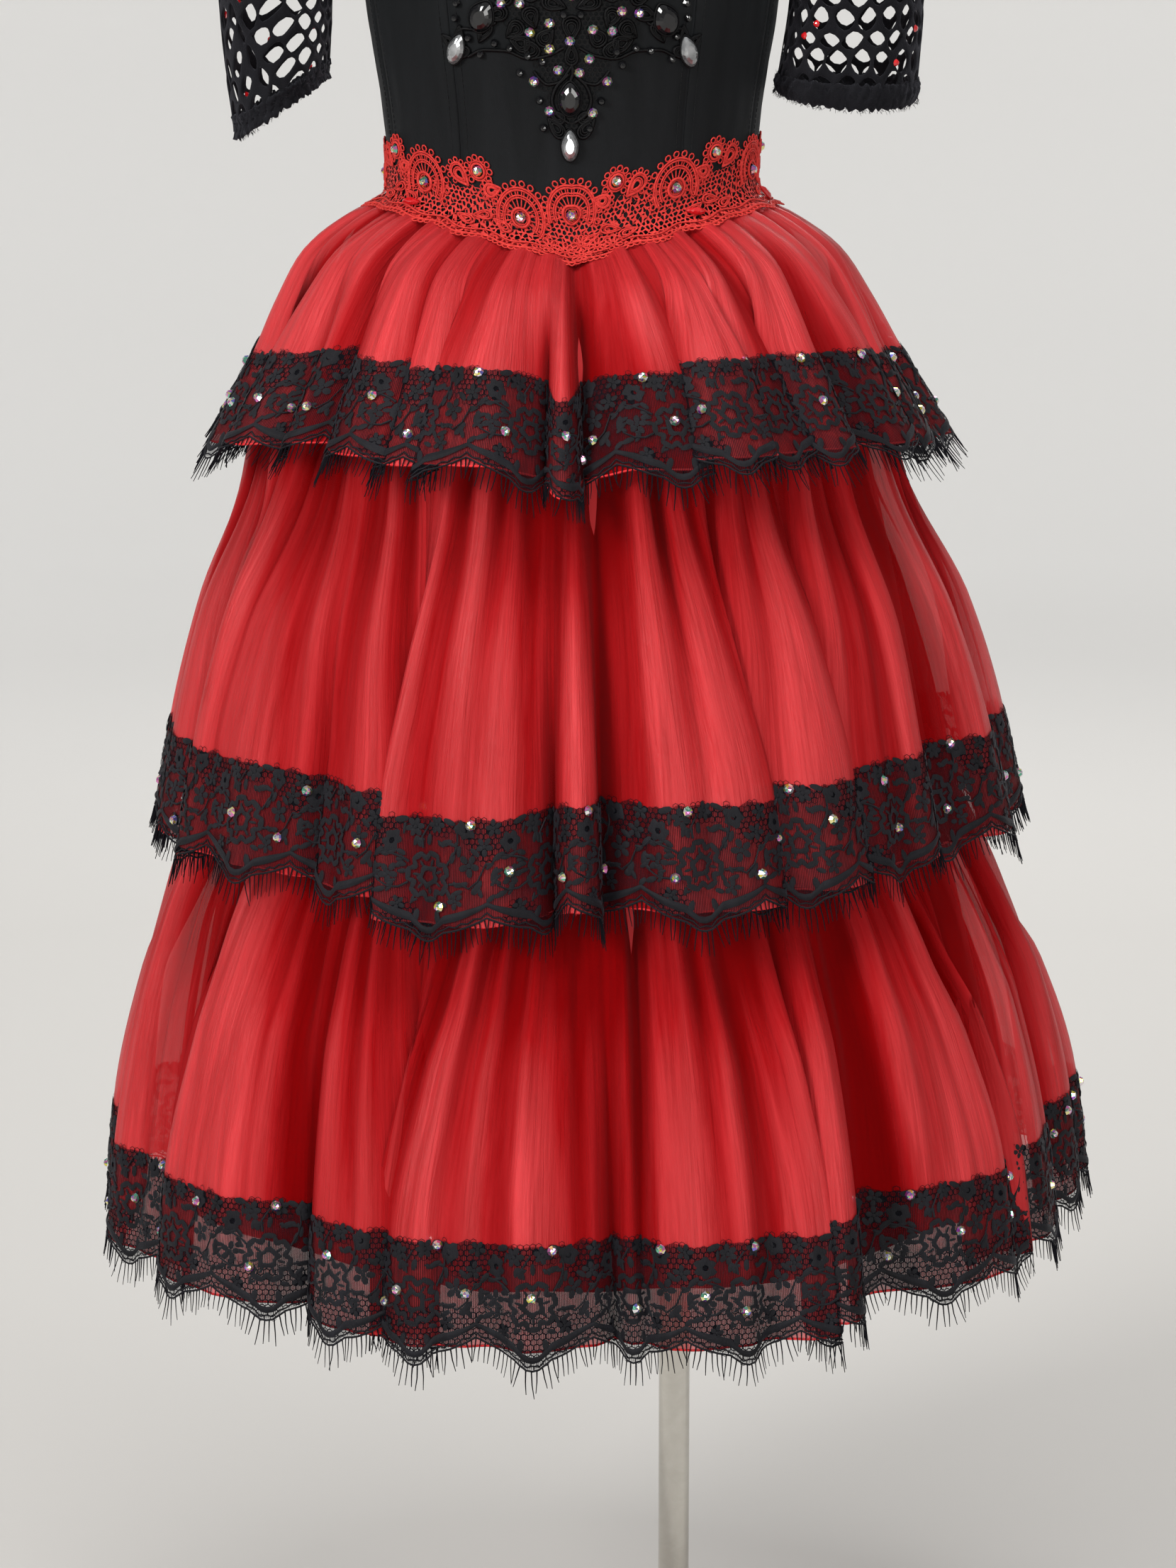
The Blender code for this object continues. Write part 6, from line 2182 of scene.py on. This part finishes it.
@dataclass
class Applique(Assembly):
    """Corded black lace and stones on the bodice's front."""

    backing_rows: tuple[Pair, ...] = ((1.140, 0.004), (1.160, 0.013), (1.190, 0.024), (1.215, 0.040),
                                      (1.240, 0.050), (1.262, 0.030))
    half_width: float = 0.06
    rim: float = 0.0012
    cross_petals: tuple[Triple, ...] = ((0.0255, 1.2190, 250.0), (0.0365, 1.2110, 320.0), (0.0262, 1.1995, 60.0),
                                        (0.0160, 1.2070, 130.0), (0.0330, 1.2030, 20.0))
    high_petals: tuple[Triple, ...] = ((0.0450, 1.2330, 30.0), (0.0350, 1.2390, 100.0), (0.0230, 1.2350, 160.0),
                                       (0.0480, 1.2210, -20.0), (0.0560, 1.2100, -60.0), (0.0110, 1.2280, 200.0))
    side_petals: tuple[Triple, ...] = ((0.0790, 1.2040, 40.0), (0.0700, 1.1960, -30.0), (0.0720, 1.2080, 100.0))
    middle_petals: tuple[tuple[float, ...], ...] = (
        (1.1960, 0.0130, 0.0080, 90.0), (1.2120, 0.0150, 0.0110, -90.0), (1.2440, 0.0180, 0.0120, 90.0),
    )
    trails: tuple[tuple[float, tuple[Pair, ...]], ...] = (
        (1.0, ((0.0, 1.1880), (0.0080, 1.1780), (0.0150, 1.1765), (0.0200, 1.1800), (0.0240, 1.1850))),
        (1.2, ((0.0020, 1.1830), (0.0100, 1.1745), (0.0125, 1.1660), (0.0090, 1.1570), (0.0020, 1.1520))),
        (1.0, ((0.0050, 1.2000), (0.0150, 1.1950), (0.0280, 1.1930), (0.0420, 1.1980), (0.0560, 1.1985),
               (0.0660, 1.1940))),
        (1.0, ((0.0480, 1.2160), (0.0580, 1.2110), (0.0690, 1.2120), (0.0755, 1.2060))),
    )

    def __post_init__(self) -> None:
        """Take the surface of the cloth over the form, and start the cords."""
        self.surface = BodySurface(FORM_CLEARANCE + BODICE_WALL)
        self.cords = Threads(0.00115)

    def flat(self, x: float, height: float) -> Pair:
        """Place on the flat cloth of a point seen straight from the front."""
        return self.surface.at_width(x, height), height

    def backing(self) -> None:
        """Make the fine net that carries the cords."""
        heights, widths = zip(*self.backing_rows)

        def keeps(x: float, y: float) -> bool:
            """Whether the net reaches here."""
            limit = float(np.interp(y, heights, widths))
            return abs(x - self.half_width) < limit * (1.0 + 0.10 * math.sin(y * 900.0))

        mesh = hex_net("backing", 2.0 * self.half_width, heights[0], heights[-1], 0.0034, 0.00060, keeps)
        mesh.transform(Matrix.Translation((-self.half_width, 0.0, 0.0007)))
        self.sew("applique", mesh, "applique_cord")

    def loop(self, x: float, height: float, length: float, width: float, degrees: float) -> None:
        """Lay one petal: three loops of cord, each inside the last."""
        along, up = self.flat(x, height)
        for share, scale in ((1.08, 1.0), (0.80, 0.7), (0.54, 0.8)):
            self.cords.loop(teardrop(along, up, length * share, width * share, degrees, 0.0012), scale)

    def trail(self, points: Sequence[Pair], scale: float) -> None:
        """Lay one cord smoothly through points."""
        rough = np.array([self.flat(x, height) for x, height in points])
        knots = np.arange(len(rough))
        at = np.linspace(0.0, len(rough) - 1.0, (len(rough) - 1) * 4 + 1)
        line = [smooth_curve(knots, column, at) for column in rough.T]
        self.cords.add(np.column_stack([*line, np.full(len(at), 0.0013)]), scale)

    def lay_cords(self) -> None:
        """Lay the doubled cords: petals, scrolls, branches and legs."""
        for side in (-1.0, 1.0):
            for petals, length, width in ((self.cross_petals, 0.0125, 0.0100), (self.high_petals, 0.0140, 0.0090),
                                          (self.side_petals, 0.0110, 0.0060)):
                for x, height, turn in petals:
                    self.loop(side * x, height, length, width, turn if side > 0.0 else 180.0 - turn)
            self.loop(side * 0.0100, 1.1490, 0.0150, 0.0080, 90.0 - side * 40.0)
            self.loop(side * 0.0095, 1.1560, 0.0110, 0.0065, 90.0 - side * 60.0)
            for scale, points in self.trails:
                self.trail([(side * x, height) for x, height in points], scale)
        for height, length, width, degrees in self.middle_petals:
            self.loop(0.0, height, length, width, degrees)
        self.trail([(0.0, 1.1900), (0.0008, 1.1840), (-0.0006, 1.1790)], 1.3)
        self.sew("applique_cords", self.cords.mesh("cords"), "applique_cord")

    def large_stones(self) -> None:
        """Set the large stones, each with a corded rim."""
        rims = Threads(0.0007, 1)
        for stone in FRONT_STONES:
            spot = self.flat(stone.x, stone.height)
            turn = math.radians(stone.turn)
            gems = Gems()
            place = self.surface.stand(*spot, 0.0018) @ Matrix.Rotation(turn, 4, "Z")
            gems.pear_cut(place, stone.length, stone.width, 0.0050)
            finish = "black_stone" if "black" in stone.name else "grey_stone"
            self.wardrobe.piece(stone.name, gems.mesh(stone.name), finish, False)
            outline = [pear_place(2.0 * math.pi * k / 24, stone.length + self.rim, stone.width + self.rim)
                       for k in range(24)]
            rims.loop([(*swing(spot, x, y, turn), 0.0022) for x, y in outline])
        self.sew("stone_rims", rims.mesh("rims"), "applique_cord")

    def small_stones(self, name: str, finish: str, places: Sequence[Pair], lift: float, *cut: float) -> None:
        """Set small round stones; the cut gives their radius and how many sides they have."""
        gems = Gems()
        for x, height in places:
            gems.round_cut(self.surface.stand(*self.flat(x, height), lift), *cut)
        self.wardrobe.piece(name, gems.mesh(name), finish, False)

    def build(self) -> None:
        """Make the motif."""
        self.backing()
        self.lay_cords()
        self.large_stones()
        self.small_stones("applique_crystals", "crystal_coated", CRYSTALS, 0.0016, 0.0035)
        self.small_stones("applique_beads", "black_stone", BLACK_BEADS, 0.0014, 0.0029, 8)


SLEEVE_BEADS = (((1288, 38), (1262, 92)), ((336, 8), (381, 60), (438, 90), (343, 131)))


def turned(name: str, profile: Sequence[Pair], steps: int, bevel: float = 0.0) -> Mesh:
    """Turn a profile (radius, height) round the vertical axis; it starts and ends on the axis."""
    shape = bmesh.new()
    points = [shape.verts.new((radius, 0.0, height)) for radius, height in profile]
    edges = [shape.edges.new(pair) for pair in zip(points, points[1:])]
    bmesh.ops.spin(shape, geom=points + edges, cent=(0.0, 0.0, 0.0), axis=(0.0, 0.0, 1.0),
                   angle=2.0 * math.pi, steps=steps, use_merge=True)
    bmesh.ops.remove_doubles(shape, verts=shape.verts, dist=0.00001)
    bmesh.ops.recalc_face_normals(shape, faces=shape.faces)
    if bevel:
        sharp = [edge for edge in shape.edges if len(edge.link_faces) == 2 and edge.calc_face_angle() > 0.6]
        bmesh.ops.bevel(shape, geom=sharp, offset=bevel, offset_type="OFFSET", segments=3, profile=0.5,
                        affect="EDGES", material=-1)
    return finish_mesh(shape, name)


@dataclass
class Stand(Assembly):
    """Round base plate, collar, pole and the flange under the form."""

    plate: Pair = (0.180, 0.008)
    tube: Triple = (0.011, 0.0076, 0.8535)
    steps: int = 64

    def add(self, name: str, profile: Sequence[Pair], bevel: float) -> None:
        """Add one turned piece on the pole's axis."""
        mesh = turned(name, profile, self.steps, bevel)
        mesh.transform(Matrix.Translation((POLE_X, 0.0, 0.0)))
        self.wardrobe.piece(name, mesh, "polished_chrome")

    def build(self) -> None:
        """Make every piece of the stand."""
        radius, thickness = self.plate
        self.add("base_plate", ((0.0, 0.0), (radius, 0.0), (radius, thickness), (0.0, thickness)), 0.0015)
        self.add("base_collar", ((0.0, 0.0078), (0.024, 0.0078), (0.024, 0.017), (0.0168, 0.0225),
                                 (0.0168, 0.038), (0.0, 0.038)), 0.001)
        radius, low, high = self.tube
        self.add("pole", ((0.0, low), (radius, low), (radius, high), (0.0, high)), 0.0004)
        self.add("form_flange", ((0.0, 0.8527), (0.034, 0.8527), (0.034, 0.8597), (0.0, 0.8597)), 0.001)


@dataclass
class DressForm(Assembly):
    """Limbless form in stretched jersey, with a turned wooden neck cap."""

    columns: int = 88
    rows: int = 70
    cap_height: float = 1.5703
    cap: tuple[Pair, ...] = ((0.0, 0.0300), (0.010, 0.0280), (0.0125, 0.0235), (0.0115, 0.0200), (0.0145, 0.0175),
                             (0.028, 0.0140), (0.040, 0.0100), (0.0465, 0.0060), (0.0478, 0.0030), (0.047, 0.0),
                             (0.0, 0.0))

    def build(self) -> None:
        """Make the form and its cap."""
        bottom = FORM_SECTIONS[0].height
        top = FORM_SECTIONS[-1].height
        surface = BodySurface(0.0)

        def place(across: Array, up: Array) -> Array:
            """Place on the form."""
            degrees = -180.0 + 360.0 * across
            height = bottom + (top - bottom) * up
            side_seam = np.exp(-(((np.abs(degrees) - 90.0) / 0.6) ** 2))
            return np.column_stack([surface.arc(degrees), height, -0.0005 * side_seam])

        mesh = merged(surface.lay(flat_cloth("form_torso", self.columns, self.rows, place)))
        shape = bmesh.new()
        shape.from_mesh(mesh)
        rims = [edge for edge in shape.edges if edge.is_boundary]
        bmesh.ops.holes_fill(shape, edges=rims, sides=0)
        bmesh.ops.recalc_face_normals(shape, faces=shape.faces)
        shape.to_mesh(mesh)
        shape.free()
        item = self.wardrobe.piece("form_torso", mesh, "form_jersey")
        cap = turned("neck_cap", self.cap, 48)
        cap.transform(Matrix.Translation((0.0, 0.0, self.cap_height)))
        self.wardrobe.piece("neck_cap", cap, "varnished_wood")


@dataclass
class Studio:
    """Plain room with soft light."""

    effects: Effects
    bowl: tuple[Pair, ...] = ((0.0, 0.0), (1.5, 0.0), (3.0, 0.0), (4.6, 0.0), (5.4, 0.10), (6.2, 0.42),
                              (6.9, 0.95), (7.4, 1.65), (7.7, 2.5), (7.8, 3.6), (7.8, 5.2))
    floor: Triple = (0.475, 0.465, 0.448)
    wall: Triple = (0.60, 0.593, 0.58)
    front: Triple = (0.0, 0.0, 0.9)

    def backdrop(self) -> None:
        """Make the floor that curves up into the walls."""
        mesh = turned("backdrop", self.bowl, 96)
        mesh.shade_smooth()
        mesh.flip_normals()
        item = bpy.data.objects.new("backdrop", mesh)
        paint = Paint("painted_wall")
        reach = paint.node("VectorMath", {0: paint.place}, operation="LENGTH").outputs["Value"]
        mottle = paint.effect(self.effects.mottle, Scale=0.5, Detail=3.0)
        uneven = paint.node("Math", {0: mottle, 1: 0.3, 2: reach}, operation="MULTIPLY_ADD").outputs[0]
        ranged = paint.node("MapRange", {"Value": uneven, "From Min": 2.7, "From Max": 5.4})
        paint.colours(ranged.outputs["Result"], self.floor, self.wall, 0.0, 1.0)
        paint.set(Roughness=0.9, Specular_IOR_Level=0.15)
        mesh.materials.append(paint.material)
        bpy.context.scene.collection.objects.link(item)

    def build(self) -> None:
        """Make the backdrop, the lights and the world."""
        self.backdrop()
        self.light("window_left", (-2.9, -2.6, 2.7), 1.4, 165.0, (1.0, 0.99, 0.97), self.front)
        self.light("window_right", (2.9, -2.6, 2.1), 1.5, 40.0, (1.0, 0.985, 0.96), self.front)
        self.light("front_fill", (0.6, -3.6, 0.45), 1.8, 62.0, (1.0, 0.985, 0.96), (0.0, 0.0, 0.70))
        self.light("overhead", (0.2, -0.9, 3.9), 1.3, 62.0, (1.0, 0.99, 0.98), self.front)
        self.light("rear_fill", (0.5, 3.2, 2.8), 2.0, 45.0, (1.0, 0.99, 0.98), self.front)
        for side in (-1.0, 1.0):
            self.light("wall_wash", (side * 2.6, 2.6, 4.6), 2.0, 120.0, (1.0, 1.0, 1.0), (side * 0.8, 7.5, 1.6))
        scene = bpy.context.scene
        scene.world = bpy.data.worlds.new("room")
        scene.world.use_nodes = True
        background = scene.world.node_tree.nodes["Background"].inputs
        background["Color"].default_value = (0.88, 0.88, 0.88, 1.0)
        background["Strength"].default_value = 0.38
        scene.view_settings.view_transform = "Standard"

    @staticmethod
    def light(name: str, place: Triple, size: float, power: float, colour: Triple, target: Triple) -> None:
        """Add a soft light that faces a target."""
        light = bpy.data.lights.new(name, "AREA")
        light.shape = "DISK"
        light.size = size
        light.energy = power
        light.color = colour
        item = bpy.data.objects.new(name, light)
        item.location = place
        item.rotation_euler = (Vector(target) - Vector(place)).to_track_quat("-Z", "Y").to_euler()
        bpy.context.scene.collection.objects.link(item)


def main() -> None:
    """Build the dressed scene."""
    logging.basicConfig(level=logging.INFO, format="%(message)s")
    wardrobe = Wardrobe()
    camera = PhotoCamera()
    Stand(wardrobe).build()
    DressForm(wardrobe).build()
    Lining(wardrobe).build()
    tier = None
    for number, (cut, stones) in enumerate(zip(TIERS, LACE_STONES), 1):
        tier = Tier(wardrobe, cut, tier)
        tier.build()
        lace = LaceTrim(wardrobe, number, tier.surface, camera)
        lace.build([(x * DISPLAY_SCALE, y * DISPLAY_SCALE) for x, y in stones])
    Bodice(wardrobe).build()
    Applique(wardrobe).build()
    WaistBand(wardrobe).build()
    Sleeve(wardrobe, "right", SLEEVE_RIGHT, 1.0).build(camera, SLEEVE_BEADS[0])
    Sleeve(wardrobe, "left", SLEEVE_LEFT, -1.0).build(camera, SLEEVE_BEADS[1])
    Studio(wardrobe.effects).build()
    camera.build()


if __name__ == "__main__":
    main()
